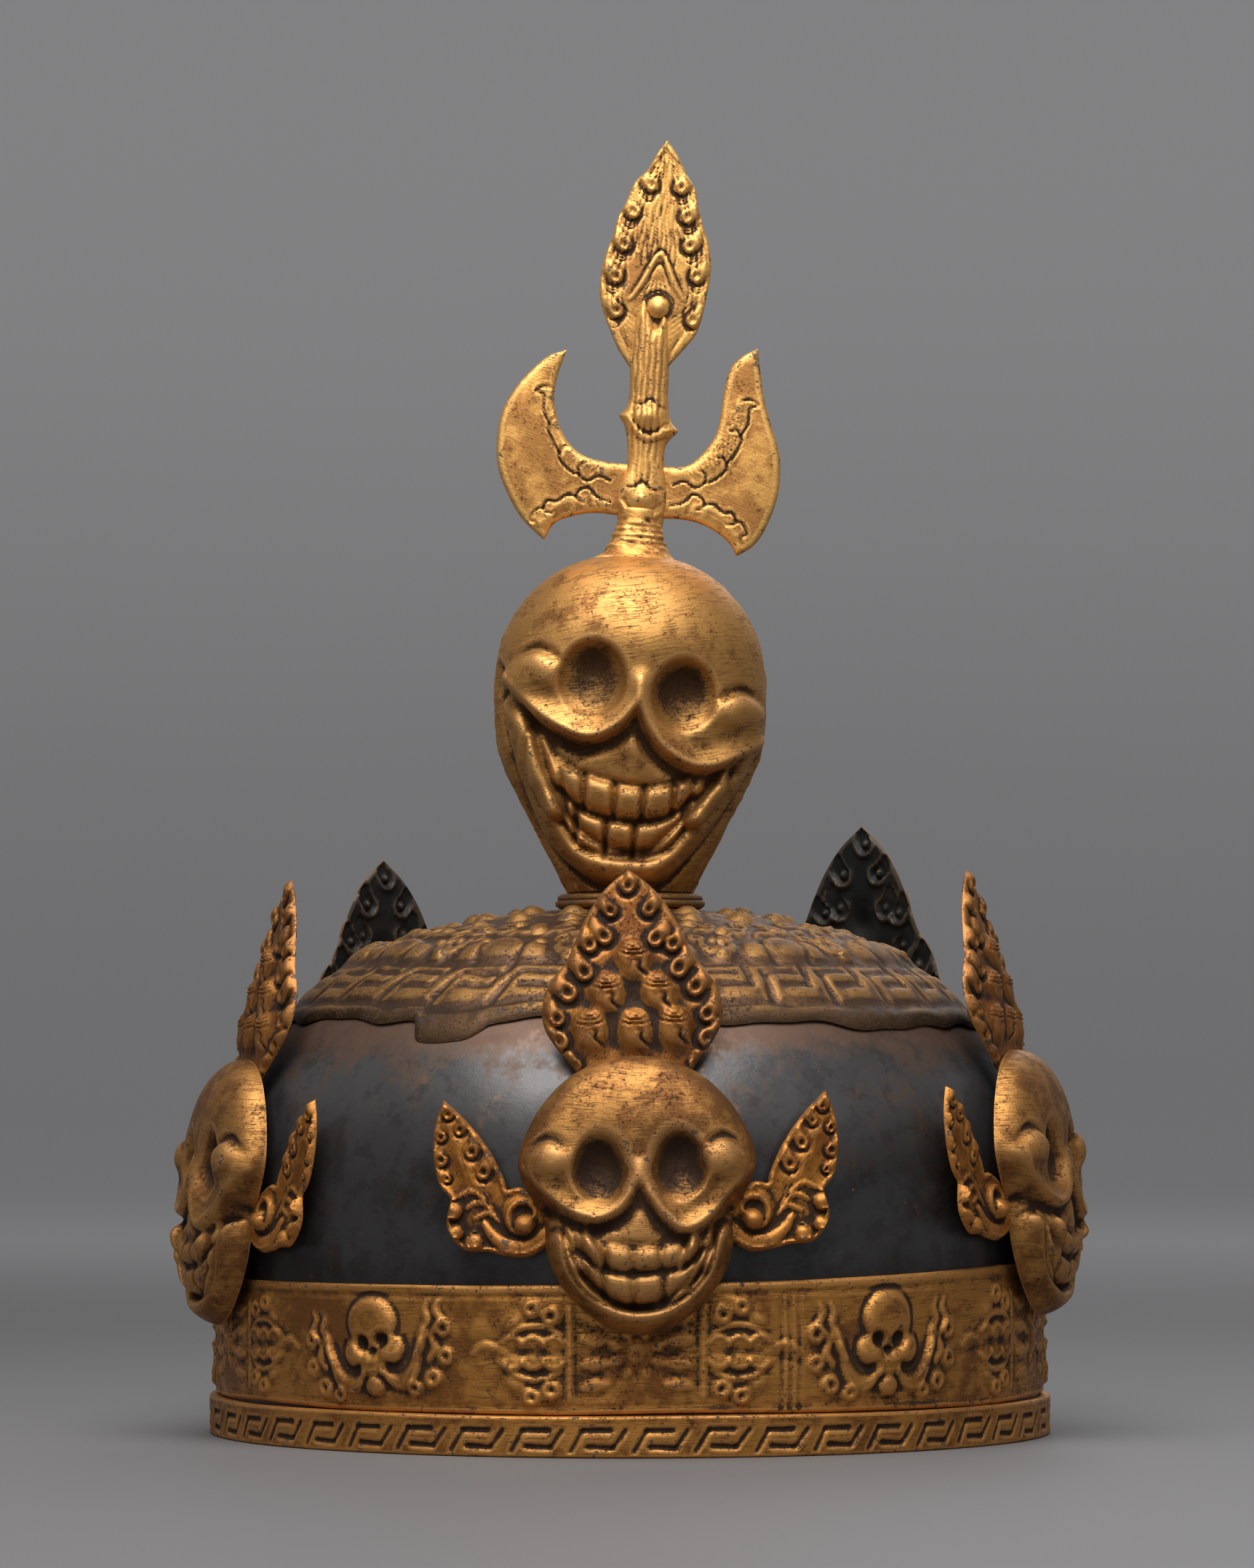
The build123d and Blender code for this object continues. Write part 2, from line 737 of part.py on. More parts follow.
def wing_part(side):
    """Wing plate with its root at the origin: x across, y up, its front face on z = 0."""
    runs = [[(side * x * wing_reach, y * wing_height) for x, y in run] for run in wing_runs]
    with BuildPart() as wing:
        with BuildSketch():
            add(spline_face(runs))
        extrude(amount=-sheet)
        for across, at, radius in wing_knobs:
            with Locations((side * across * wing_reach, at * wing_height, 0)):
                Sphere(radius * wing_height)
        with Locations((0, 0, -sheet)):
            Box(4 * wing_reach, 4 * wing_height, wing_height, align=hanging, mode=Mode.SUBTRACT)
    return wing.part


# Skull plaques: built once in their own frame, x across, y up from the chin and z out of the face
hollow_skull = mask_solid()
wings = {"wing_left": wing_part(-1), "wing_right": wing_part(1)}
bowl_clearance = dome_part(seat_gap, 0)
outwards = (0, -cos(radians(skull_lean)), sin(radians(skull_lean)))
face_tilt = Plane((0, -chin_radius, chin_height), x_dir=(1, 0, 0), z_dir=outwards)
pin_share = (pin_height + pin_radius - skull_height / 2) / (skull_height / 2 - sheet)
pin_top = mask_point(0, 2 * asin(pin_share) / pi, sheet)[2]
for name, azimuth, rise, roll, crest_lean, crest_size in plaques:
    turn = Location((0, 0, rise), (0, 0, azimuth))
    middle = Location((0, skull_height / 2, 0), (0, 0, roll)) * Location((0, -skull_height / 2, 0))
    plaque = turn * face_tilt.location * middle

    with BuildPart() as skull:
        with Locations(plaque):
            add(hollow_skull)
    skull.part.label = f"skull_{name}"
    export_step(skull.part, f"parts/skull_{name}.step")

    crest_turn = skull_lean - crest_lean
    set_back = 2 * seat_gap + max(0, tan(radians(-crest_turn))) * crest_foot_depth
    with BuildPart() as crest:
        with Locations(plaque * Location((0, skull_height, -set_back), (crest_turn, 0, 0))):
            add(crest_part(crest_size))
    crest.part.label = f"crest_{name}"
    export_step(crest.part, f"parts/crest_{name}.step")

    for wing_name, side in (("wing_left", -1), ("wing_right", 1)):
        with BuildPart() as wing:
            root = Location((side * wing_root, wing_low, -2 * seat_gap), (0, side * wing_sweep, 0))
            with Locations(plaque * root):
                add(wings[wing_name])
        wing.part.label = f"{wing_name}_{name}"
        export_step(wing.part, f"parts/{wing_name}_{name}.step")

    with BuildPart() as pin:
        with Locations(plaque * Location((0, pin_height, pin_top - hollow_gap))):
            Cylinder(pin_radius, pin_reach, align=hanging)
        add(bowl_clearance, mode=Mode.SUBTRACT)
    pin.part.label = f"pin_{name}"
    export_step(pin.part, f"parts/pin_{name}.step")
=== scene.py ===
# %% [markdown]
# A skull crown is worn on the head in ritual dances. It is hammered from copper sheet, gilded with a
# brush, and rubbed by hands for years. The solids come from the packed model, and this scene dresses
# them. Each solid stays where it is, and a finely beaten piece takes its place.

from math import atan2, cos, degrees, exp, hypot, pi, radians, sin, tan

import bpy
import numpy as np
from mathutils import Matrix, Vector
from mathutils.geometry import delaunay_2d_cdt


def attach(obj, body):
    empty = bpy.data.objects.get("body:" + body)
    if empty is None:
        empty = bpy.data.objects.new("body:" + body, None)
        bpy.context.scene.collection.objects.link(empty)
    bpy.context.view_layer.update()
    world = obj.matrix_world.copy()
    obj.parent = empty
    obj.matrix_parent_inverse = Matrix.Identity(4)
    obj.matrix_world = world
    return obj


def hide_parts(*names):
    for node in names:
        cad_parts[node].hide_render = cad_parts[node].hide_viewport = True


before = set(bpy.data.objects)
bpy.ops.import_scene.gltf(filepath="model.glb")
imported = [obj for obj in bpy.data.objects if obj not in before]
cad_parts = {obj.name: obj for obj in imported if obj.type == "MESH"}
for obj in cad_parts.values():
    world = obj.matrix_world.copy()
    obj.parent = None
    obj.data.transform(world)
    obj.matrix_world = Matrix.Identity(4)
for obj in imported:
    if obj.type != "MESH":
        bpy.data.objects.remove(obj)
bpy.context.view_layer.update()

# %% [markdown]
# The camera comes first. The photograph was taken with a long lens, from a low tripod that tilts up a
# little, so the foot of the crown shows as a flat curve. The same lens and place are set here.

# %% Camera
camera_data = bpy.data.cameras.new("camera")
camera_data.lens = 137
camera_data.sensor_width = 36
camera_data.clip_end = 20
camera = bpy.data.objects.new("camera", camera_data)
camera.location = (-0.0008, -1.514, 0.0948)
camera.rotation_euler = (radians(92.6), 0, 0)
bpy.context.scene.collection.objects.link(camera)
bpy.context.scene.camera = camera
print("camera at", tuple(round(x, 3) for x in camera.location))

# %% [markdown]
# The studio is a round sweep of pale grey paper that runs along the floor and up on every side, so the
# crown can be looked at from anywhere. The light is a big soft box overhead, two weak ones in front, one
# behind for whoever walks round it, and a little light from the room.

# %% Studio


def soft_box(name, place, aim, size, watts, tint):
    """Square area light that looks at a point."""
    data = bpy.data.lights.new(name, "AREA")
    data.shape = "SQUARE"
    data.size, data.energy, data.color = size, watts, tint
    lamp = bpy.data.objects.new(name, data)
    lamp.location = place
    lamp.rotation_euler = (Vector(aim) - lamp.location).to_track_quat("-Z", "Y").to_euler()
    bpy.context.scene.collection.objects.link(lamp)


def studio_paper():
    """Round paper sweep: flat under the crown, then a wide bend up to a wall on every side."""
    flat, bend, top, columns = 2.5, 1.0, 3.4, 96
    profile = [(0.02, 0.0), (0.3, 0.0), (0.8, 0.0), (1.6, 0.0), (flat, 0.0)]
    for step in range(1, 17):
        angle = radians(90 * step / 16)
        profile.append((flat + bend * sin(angle), bend * (1 - cos(angle))))
    profile.append((flat + bend, top))
    turns = [2 * pi * k / columns for k in range(columns)]
    verts = [(r * cos(a), r * sin(a), z) for r, z in profile for a in turns]
    faces = [tuple(range(columns))]
    for row in range(len(profile) - 1):
        for k in range(columns):
            a, b = row * columns + k, row * columns + (k + 1) % columns
            faces.append((a, a + columns, b + columns, b))
    mesh = bpy.data.meshes.new("studio_paper")
    mesh.from_pydata(verts, [], faces)
    mesh.shade_smooth()
    paper = bpy.data.objects.new("studio_paper", mesh)
    bpy.context.scene.collection.objects.link(paper)
    return paper


paper = studio_paper()
soft_box("overhead", (-0.06, -0.4, 1.0), (0, 0, 0.22), 0.95, 16.5, (1.0, 0.98, 0.96))
soft_box("front_fill", (-0.5, -1.7, 0.7), (0, 0, 0.12), 0.9, 1.75, (1.0, 0.97, 0.94))
soft_box("behind", (0.5, 1.5, 1.3), (0, 0, 0.15), 1.0, 5.0, (0.97, 0.98, 1.0))
soft_box("right_fill", (1.2, -0.9, 0.7), (0, 0, 0.15), 0.8, 1.1, (0.95, 0.97, 1.0))
bpy.context.scene.view_settings.view_transform = "Standard"
world = bpy.data.worlds.new("room")
bpy.context.scene.world = world
world.use_nodes = True
world.node_tree.nodes["Background"].inputs["Color"].default_value = (0.9, 0.92, 1.0, 1)
world.node_tree.nodes["Background"].inputs["Strength"].default_value = 0.04

# %% [markdown]
# Every metal here is a set of shader nodes. A node socket is wrapped in a small class, so the sums
# between nodes read as plain sums, and one method makes any other node.

# %% Shader sums


class Wire:
    """The output of a node, used in sums like a number."""

    def __init__(self, nodes, socket):
        self.nodes, self.socket = nodes, socket

    def sum(self, operation, first, second):
        return self.nodes.node("ShaderNodeMath", {"operation": operation}, {0: first, 1: second})

    def __add__(self, other):
        return self.sum("ADD", self, other)

    __radd__ = __add__

    def __mul__(self, other):
        return self.sum("MULTIPLY", self, other)

    __rmul__ = __mul__

    def __sub__(self, other):
        return self.sum("SUBTRACT", self, other)

    def __rsub__(self, other):
        return self.sum("SUBTRACT", other, self)


class Nodes:
    """A node tree written as calls and sums."""

    def __init__(self, tree):
        self.tree = tree

    def node(self, kind, settings=None, inputs=None, out=0):
        """Makes a node, sets it, fills or links its sockets, and gives one of its outputs."""
        made = self.tree.nodes.new(kind)
        for name, value in (settings or {}).items():
            setattr(made, name, value)
        for name, value in (inputs or {}).items():
            if isinstance(value, Wire):
                self.tree.links.new(value.socket, made.inputs[name])
            else:
                made.inputs[name].default_value = value
        return Wire(self, made.outputs[out])

    def step(self, value, low, high):
        """0 below low, 1 above high, and a smooth rise between."""
        ends = {"Value": value, "From Min": low, "From Max": high}
        return self.node("ShaderNodeMapRange", {"interpolation_type": "SMOOTHSTEP"}, ends)


class Finish(Nodes):
    """The nodes of one metal finish."""

    def __init__(self, name):
        self.material = bpy.data.materials.new(name)
        self.material.use_nodes = True
        super().__init__(self.material.node_tree)
        self.tree.nodes.clear()
        self.place = self.node("ShaderNodeTexCoord", out="Object")

    def noise(self, where, size, detail, rough):
        """Noise whose lumps are about size mm across."""
        asked = {"Vector": where, "Scale": 1000 / size, "Detail": detail, "Roughness": rough}
        return self.node("ShaderNodeTexNoise", {}, asked)

    def grain(self, size, detail=3.0, rough=0.55, stretch=(1, 1, 1), shift=0.0):
        """Noise over the whole piece, drawn out along any axis."""
        asked = {"Vector": self.place, "Location": (shift, shift, shift), "Scale": stretch}
        return self.noise(self.node("ShaderNodeMapping", {}, asked), size, detail, rough)

    def strokes(self, size, lay, tilt, shift):
        """Long wavy brush strokes about size mm wide, tilted by some degrees."""
        asked = {"Vector": self.place, "Scale": 70.0, "Detail": 1.0}
        wander = self.node("ShaderNodeTexNoise", {}, asked, out="Color")
        asked = {0: wander, 1: (0.0025, 0.0025, 0.0025), 2: self.place}
        bent = self.node("ShaderNodeVectorMath", {"operation": "MULTIPLY_ADD"}, asked)
        turned = self.node("ShaderNodeMapping", {}, {"Vector": bent, "Rotation": (0, radians(tilt), 0)})
        asked = {"Vector": turned, "Location": (shift, shift, shift), "Scale": lay}
        return self.noise(self.node("ShaderNodeMapping", {}, asked), size, 2.0, 0.6)

    def mark(self, name):
        """A number stored on the points of the mesh."""
        return self.node("ShaderNodeAttribute", {"attribute_name": name}, out="Fac")

    def paint(self, under, over, share):
        """One colour laid over another; each is a wire or three numbers."""
        under, over = [c if isinstance(c, Wire) else (*c, 1) for c in (under, over)]
        return self.node("ShaderNodeMix", {"data_type": "RGBA"}, {0: share, 6: under, 7: over}, out=2)

    def metal(self, colour, rough, metallic, height, depth):
        """The closing shader: a metal whose fine relief comes from a height in mm."""
        bump = self.node("ShaderNodeBump", {}, {"Strength": 1.0, "Distance": depth / 1000, "Height": height})
        asked = {"Base Color": colour, "Roughness": rough, "Metallic": metallic, "Normal": bump}
        return self.close(self.node("ShaderNodeBsdfPrincipled", {}, asked))

    def close(self, shader):
        output = self.tree.nodes.new("ShaderNodeOutputMaterial")
        self.tree.links.new(shader.socket, output.inputs["Surface"])
        return self.material


print("a finish can", [name for name in vars(Finish) if name[0] != "_"])

# %% [markdown]
# Gilding that was brushed on thinly never looks like one flat gold. It is yellow where it is thick and
# coppery where it is thin, almost black in the hollows where soot and wax stay and where shade is painted
# in, and bright on the ridges that cloths and hands rub. Each beaten piece therefore stores two marks on its
# points, hollow and ridge, and the finishes read them; the hollow mark also carries painted shade. Fine
# noise adds the brush strokes, the pits and the chips.

# %% Gilding


def gilded_copper(name, gold, copper, soot_shade_colour, thin=0.5, soot_and_shade_share=1.0, lay=(0.1, 0.1, 1.5), tilt=0.0,
                  brushed=1.0, rub=(0.3, 0.6), worn=None, dark_below=None):
    """Brushed gilding over copper, thinner as the shares ask, with soot and painted shade laid dark into the
    hollows.
    """
    f = Finish(name)
    clouds = f.grain(22, 4, 0.6)
    patches = f.grain(6, 5, 0.7, shift=3.1)
    specks = f.grain(0.9, 4, 0.75, shift=5.7)
    brush = f.strokes(0.62, lay, tilt, 7.3)
    fine = f.strokes(0.34, lay, tilt, 2.9)
    hollow = f.mark("hollow")
    ridge = f.mark("ridge")
    thinness = f.step(clouds * 0.5 + patches * 0.5, 0.58 - 0.16 * thin, 0.7 - 0.16 * thin)
    colour = f.paint(gold, copper, thinness * 0.85)
    lines = f.step(brush * 0.55 + fine * 0.45 + (patches - 0.5) * 0.3, 0.47, 0.63)
    shade = tuple(0.42 * (0.35 * g + c) for g, c in zip(gold, copper))
    colour = f.paint(colour, shade, lines * 0.78 * brushed)
    bright = worn or tuple(min(1.0, c * 1.25 + 0.03) for c in gold)
    rubbed = f.step(ridge + (patches - 0.5) * 1.0 + (brush - 0.5) * 0.5, rub[0], rub[0] + 0.55)
    colour = f.paint(colour, bright, rubbed * rub[1])
    # Soot and painted shade: the hollow mark also carries shade painted into recesses and under down-facing
    # faces, and it darkens the gilding towards the soot colour.
    soot_and_shade_amount = hollow * 1.35 * soot_and_shade_share + (patches - 0.5) * 0.5 + (specks - 0.5) * 0.8 + (fine - 0.5) * 0.45
    soot_and_painted_shade = f.step(soot_and_shade_amount, 0.16, 0.74)
    colour = f.paint(colour, soot_shade_colour, soot_and_painted_shade * 0.93)
    pits = f.step(specks * 0.66 + patches * 0.34 + hollow * 0.05, 0.545, 0.62)
    colour = f.paint(colour, (0.045, 0.02, 0.01), pits * 0.6)
    flaking = f.grain(2.6, 4, 0.7, shift=11.9) + (clouds - 0.5) * 0.25 + f.step(ridge, 0.35, 0.9) * 0.1
    chips = f.step(flaking, 0.7, 0.73)
    colour = f.paint(colour, (0.02, 0.028, 0.034), chips * 0.8)
    if dark_below:
        height_mark = f.node("ShaderNodeSeparateXYZ", {}, {0: f.place}, out=2)
        border = dark_below - height_mark * 1000 + (clouds - 0.5) * 3.0 + (specks - 0.5) * 2.0
        edge = f.step(border, -0.4, 1.8)
        colour = f.paint(colour, (0.052, 0.032, 0.023), edge * 0.8)
    rough = 0.49 + soot_and_painted_shade * 0.2 + pits * 0.14 + lines * 0.12
    metallic = 0.92 - soot_and_painted_shade * 0.45 - chips * 0.6 - lines * 0.15
    height = fine * 0.3 * brushed + specks * 0.5 + patches * 0.35 - chips * 0.5 - pits * 0.5 - lines * 0.12
    return f.metal(colour, rough, metallic, height, 0.2)


skull_gold = gilded_copper("skull_gold", (0.58, 0.302, 0.09), (0.28, 0.12, 0.034), (0.046, 0.018, 0.003),
                           tilt=8, soot_and_shade_share=1.25)
mask_gold = gilded_copper("mask_gold", (0.44, 0.217, 0.061), (0.2, 0.08, 0.026), (0.024, 0.009, 0.002),
                          thin=0.9, soot_and_shade_share=1.35, tilt=-3)
trident_gold = gilded_copper("trident_gold", (0.84, 0.455, 0.128), (0.46, 0.205, 0.06), (0.04, 0.016, 0.006),
                             thin=1.0, soot_and_shade_share=1.3, tilt=-24, brushed=0.7)
plate_gold = gilded_copper("plate_gold", (0.34, 0.142, 0.03), (0.17, 0.058, 0.016), (0.016, 0.007, 0.003),
                           thin=0.9, soot_and_shade_share=1.2, tilt=70, brushed=0.6)
wing_gold = gilded_copper("wing_gold", (0.47, 0.195, 0.034), (0.24, 0.085, 0.02), (0.018, 0.008, 0.003),
                          thin=0.8, soot_and_shade_share=0.95, tilt=60, brushed=0.7)
band_gold = gilded_copper("band_gold", (0.51, 0.238, 0.055), (0.24, 0.09, 0.025), (0.018, 0.009, 0.005),
                          thin=0.8, soot_and_shade_share=1.1)
cap_copper = gilded_copper("cap_copper", (0.17, 0.088, 0.04), (0.085, 0.048, 0.03), (0.02, 0.014, 0.011),
                           thin=1.1, lay=(0.3, 0.3, 1.5), rub=(0.16, 0.85), worn=(0.33, 0.17, 0.053),
                           dark_below=107.0)
print("gildings", [m.name for m in bpy.data.materials if m.users == 0][:8])

# %% [markdown]
# The bowl under it all was never gilded. Smoke and wax turned its copper blue black, and it is satin rather
# than dull, with brown metal showing where the cap rubs it and in a few worn clouds. A pale grey sheen on
# its upper shoulder is a painted reflection of the light above.

# %% Dark bowl, crest backs and hidden copper


def dark_bowl():
    """Blue-black patina with brown wear under the cap, flecks of stray gilding, and a painted grey
    reflection on the shoulder.
    """
    f = Finish("dark_bowl")
    clouds = f.grain(30, 4, 0.6)
    patches = f.grain(7, 5, 0.65, shift=2.0)
    specks = f.grain(0.8, 3, 0.7, shift=4.0)
    streaks = f.grain(2.2, 4, 0.7, stretch=(0.25, 0.25, 1.4), shift=6.0)
    height_mark = f.node("ShaderNodeSeparateXYZ", {}, {0: f.place}, out=2)
    colour = f.paint((0.06, 0.058, 0.058), (0.024, 0.02, 0.018), f.step(clouds, 0.44, 0.62))
    colour = f.paint(colour, (0.075, 0.034, 0.02), f.step(patches * 0.5 + clouds * 0.5, 0.5, 0.66) * 0.55)
    # Painted reflection: a pale grey sheen laid on the upper shoulder, where the overhead light would shine
    # on the satin copper.
    shoulder = f.step(height_mark * 1000 + (clouds - 0.5) * 34, 64.0, 92.0)
    colour = f.paint(colour, (0.125, 0.122, 0.122), shoulder * 0.6)
    blotch = f.step(f.grain(15, 5, 0.72, shift=2.2) + (height_mark * 1000 - 92.0) * 0.011, 0.47, 0.58)
    colour = f.paint(colour, (0.12, 0.074, 0.052), blotch * shoulder * 0.72)
    soot_spot = f.step(f.grain(7, 5, 0.72, shift=13.5), 0.5, 0.62)
    colour = f.paint(colour, (0.022, 0.019, 0.018), soot_spot * 0.35)
    under_cap = f.step(height_mark * 1000 + (patches - 0.5) * 9 + (streaks - 0.5) * 5, 93.0, 99.0)
    colour = f.paint(colour, (0.15, 0.088, 0.06), under_cap * 0.8)
    foot = f.step(50.0 - height_mark * 1000 + (patches - 0.5) * 16, 0.0, 12.0)
    colour = f.paint(colour, (0.012, 0.009, 0.008), foot * 0.7)
    worn = f.step(patches, 0.6, 0.68) * f.step(clouds, 0.48, 0.6)
    colour = f.paint(colour, (0.26, 0.15, 0.085), worn * 0.55)
    fleck = f.step(f.grain(3.4, 4, 0.75, shift=9.0), 0.7, 0.73)
    colour = f.paint(colour, (0.4, 0.23, 0.09), fleck * 0.6)
    rough = 0.34 + (patches - 0.5) * 0.3 + (specks - 0.5) * 0.12
    rough = rough + under_cap * 0.12 + blotch * shoulder * 0.12
    metallic = 0.55 + worn * 0.25 + under_cap * 0.2
    height = patches * 0.7 + specks * 0.2 + streaks * 0.2
    return f.metal(colour, rough, metallic, height, 0.12)


def crest_back():
    """Near-black sheet behind a crest, with a greenish cast and lighter rubbed dimples."""
    f = Finish("crest_back")
    clouds = f.grain(9, 4, 0.6)
    specks = f.grain(0.9, 3, 0.7, shift=4.0)
    ridge = f.mark("ridge")
    colour = f.paint((0.01, 0.012, 0.011), (0.022, 0.019, 0.015), f.step(clouds, 0.45, 0.62))
    colour = f.paint(colour, (0.13, 0.088, 0.054), f.step(ridge + (clouds - 0.5) * 0.6, 0.6, 1.0) * 0.5)
    rough = 0.58 + (clouds - 0.5) * 0.2 + (specks - 0.5) * 0.15
    return f.metal(colour, rough, 0.4, clouds * 0.5 + specks * 0.3, 0.12)


def plain_copper(name, light, dark):
    """Unseen or inner copper: brown, uneven and dull."""
    f = Finish(name)
    clouds = f.grain(12, 4, 0.6)
    specks = f.grain(1.0, 3, 0.7, shift=4.0)
    colour = f.paint(light, dark, f.step(clouds * 0.7 + specks * 0.3, 0.4, 0.62))
    return f.metal(colour, 0.45 + (clouds - 0.5) * 0.25, 0.8, clouds * 0.6 + specks * 0.3, 0.12)


bowl_patina = dark_bowl()
back_patina = crest_back()
pin_copper = plain_copper("pin_copper", (0.3, 0.14, 0.07), (0.1, 0.045, 0.025))
print("finishes", len(bpy.data.materials))

# %% [markdown]
# The studio paper needs its own quiet finish, a plain pale grey with a faint cloud in it, and a painted glow
# that lights it more away from the crown and higher up.

# %% Paper finish


def paper_grey():
    """Grey paper that glows with painted light: none near the crown, more further away and higher up."""
    f = Finish("paper_grey")
    clouds = f.grain(300, 2, 0.5)
    height = f.node("ShaderNodeSeparateXYZ", {}, {0: f.place}, out=2)
    far = f.node("ShaderNodeVectorMath", {"operation": "LENGTH"}, {0: f.place}, out=1)
    # Painted light: the paper glows more the further it lies from the crown and the higher it stands.
    paper_glow = f.paint((0, 0, 0), (0.11, 0.109, 0.112), f.step(far, 0.45, 1.7))
    paper_glow = f.paint(paper_glow, (0.185, 0.183, 0.187), f.step(height + clouds * 0.05, 0.0, 0.85))
    asked = {"Base Color": (0.145, 0.144, 0.148, 1), "Roughness": 0.6}
    asked.update({"Emission Color": paper_glow, "Emission Strength": 1.0})
    return f.close(f.node("ShaderNodeBsdfPrincipled", {}, asked))


paper.data.materials.append(paper_grey())
paper.data.materials[0].cycles.emission_sampling = "NONE"
print("paper", paper.data.materials[0].name)

# %% [markdown]
# A repousse sheet is drawn first and beaten after. The helper below does the same with numbers: it
# holds points across and up in millimetres, and how far each is beaten out. A bump raises or sinks a
# round place, a roll is a long raised bead along a drawn line, and a cut is a chased line.

# %% Beaten sheet


def smooth_line(points, per_span=7):
    """A smooth drawn line through a few points."""
    p = np.asarray(points, float)
    if len(p) < 3:
        return p
    padded = np.vstack([2 * p[0] - p[1], p, 2 * p[-1] - p[-2]])
    t = np.linspace(0, 1, per_span, endpoint=False)[:, None]
    runs = []
    for i in range(1, len(padded) - 2):
        a, b, c, d = padded[i - 1 : i + 3]
        square, cube = 2 * a - 5 * b + 4 * c - d, 3 * b - a - 3 * c + d
        runs.append(0.5 * (2 * b + (c - a) * t + square * t**2 + cube * t**3))
    return np.vstack(runs + [p[-1:]])


def arch(x, y, wide, high, start, end, count):
    """Points of a drawn arch, from one angle in degrees to another."""
    angles = np.radians(np.linspace(start, end, count))
    return [(x + wide * cos(a), y + high * sin(a)) for a in angles]


def moved(points, x, y, side=1):
    """A drawn line set at a place; its mirror image where side is -1."""
    return [(x + side * dx, y + dy) for dx, dy in points]


def shifted(grid, axis, reach, mode="edge"):
    """The grid moved by each number of cells from -reach to reach along an axis."""
    pads = [(0, 0), (0, 0)]
    pads[axis] = (reach, reach)
    wide, count = np.pad(grid, pads, mode=mode), grid.shape[axis]
    return [wide.take(range(k, k + count), axis) for k in range(2 * reach + 1)]


def softened(grid, passes=1, wrap=False):
    """A grid of heights with its sharpest steps eased."""
    for _ in range(passes):
        for axis in (0, 1):
            before, same, after = shifted(grid, axis, 1, "wrap" if wrap and axis else "edge")
            grid = 0.5 * same + 0.25 * (before + after)
    return grid


def lowest(grid, reach):
    """The lowest height within some cells of each point of a grid."""
    for axis in (0, 1):
        grid = np.min(shifted(grid, axis, reach), axis=0)
    return grid


def ease(value):
    """0 below 0, 1 above 1, and a smooth rise between."""
    value = np.clip(value, 0, 1)
    return value * value * (3 - 2 * value)


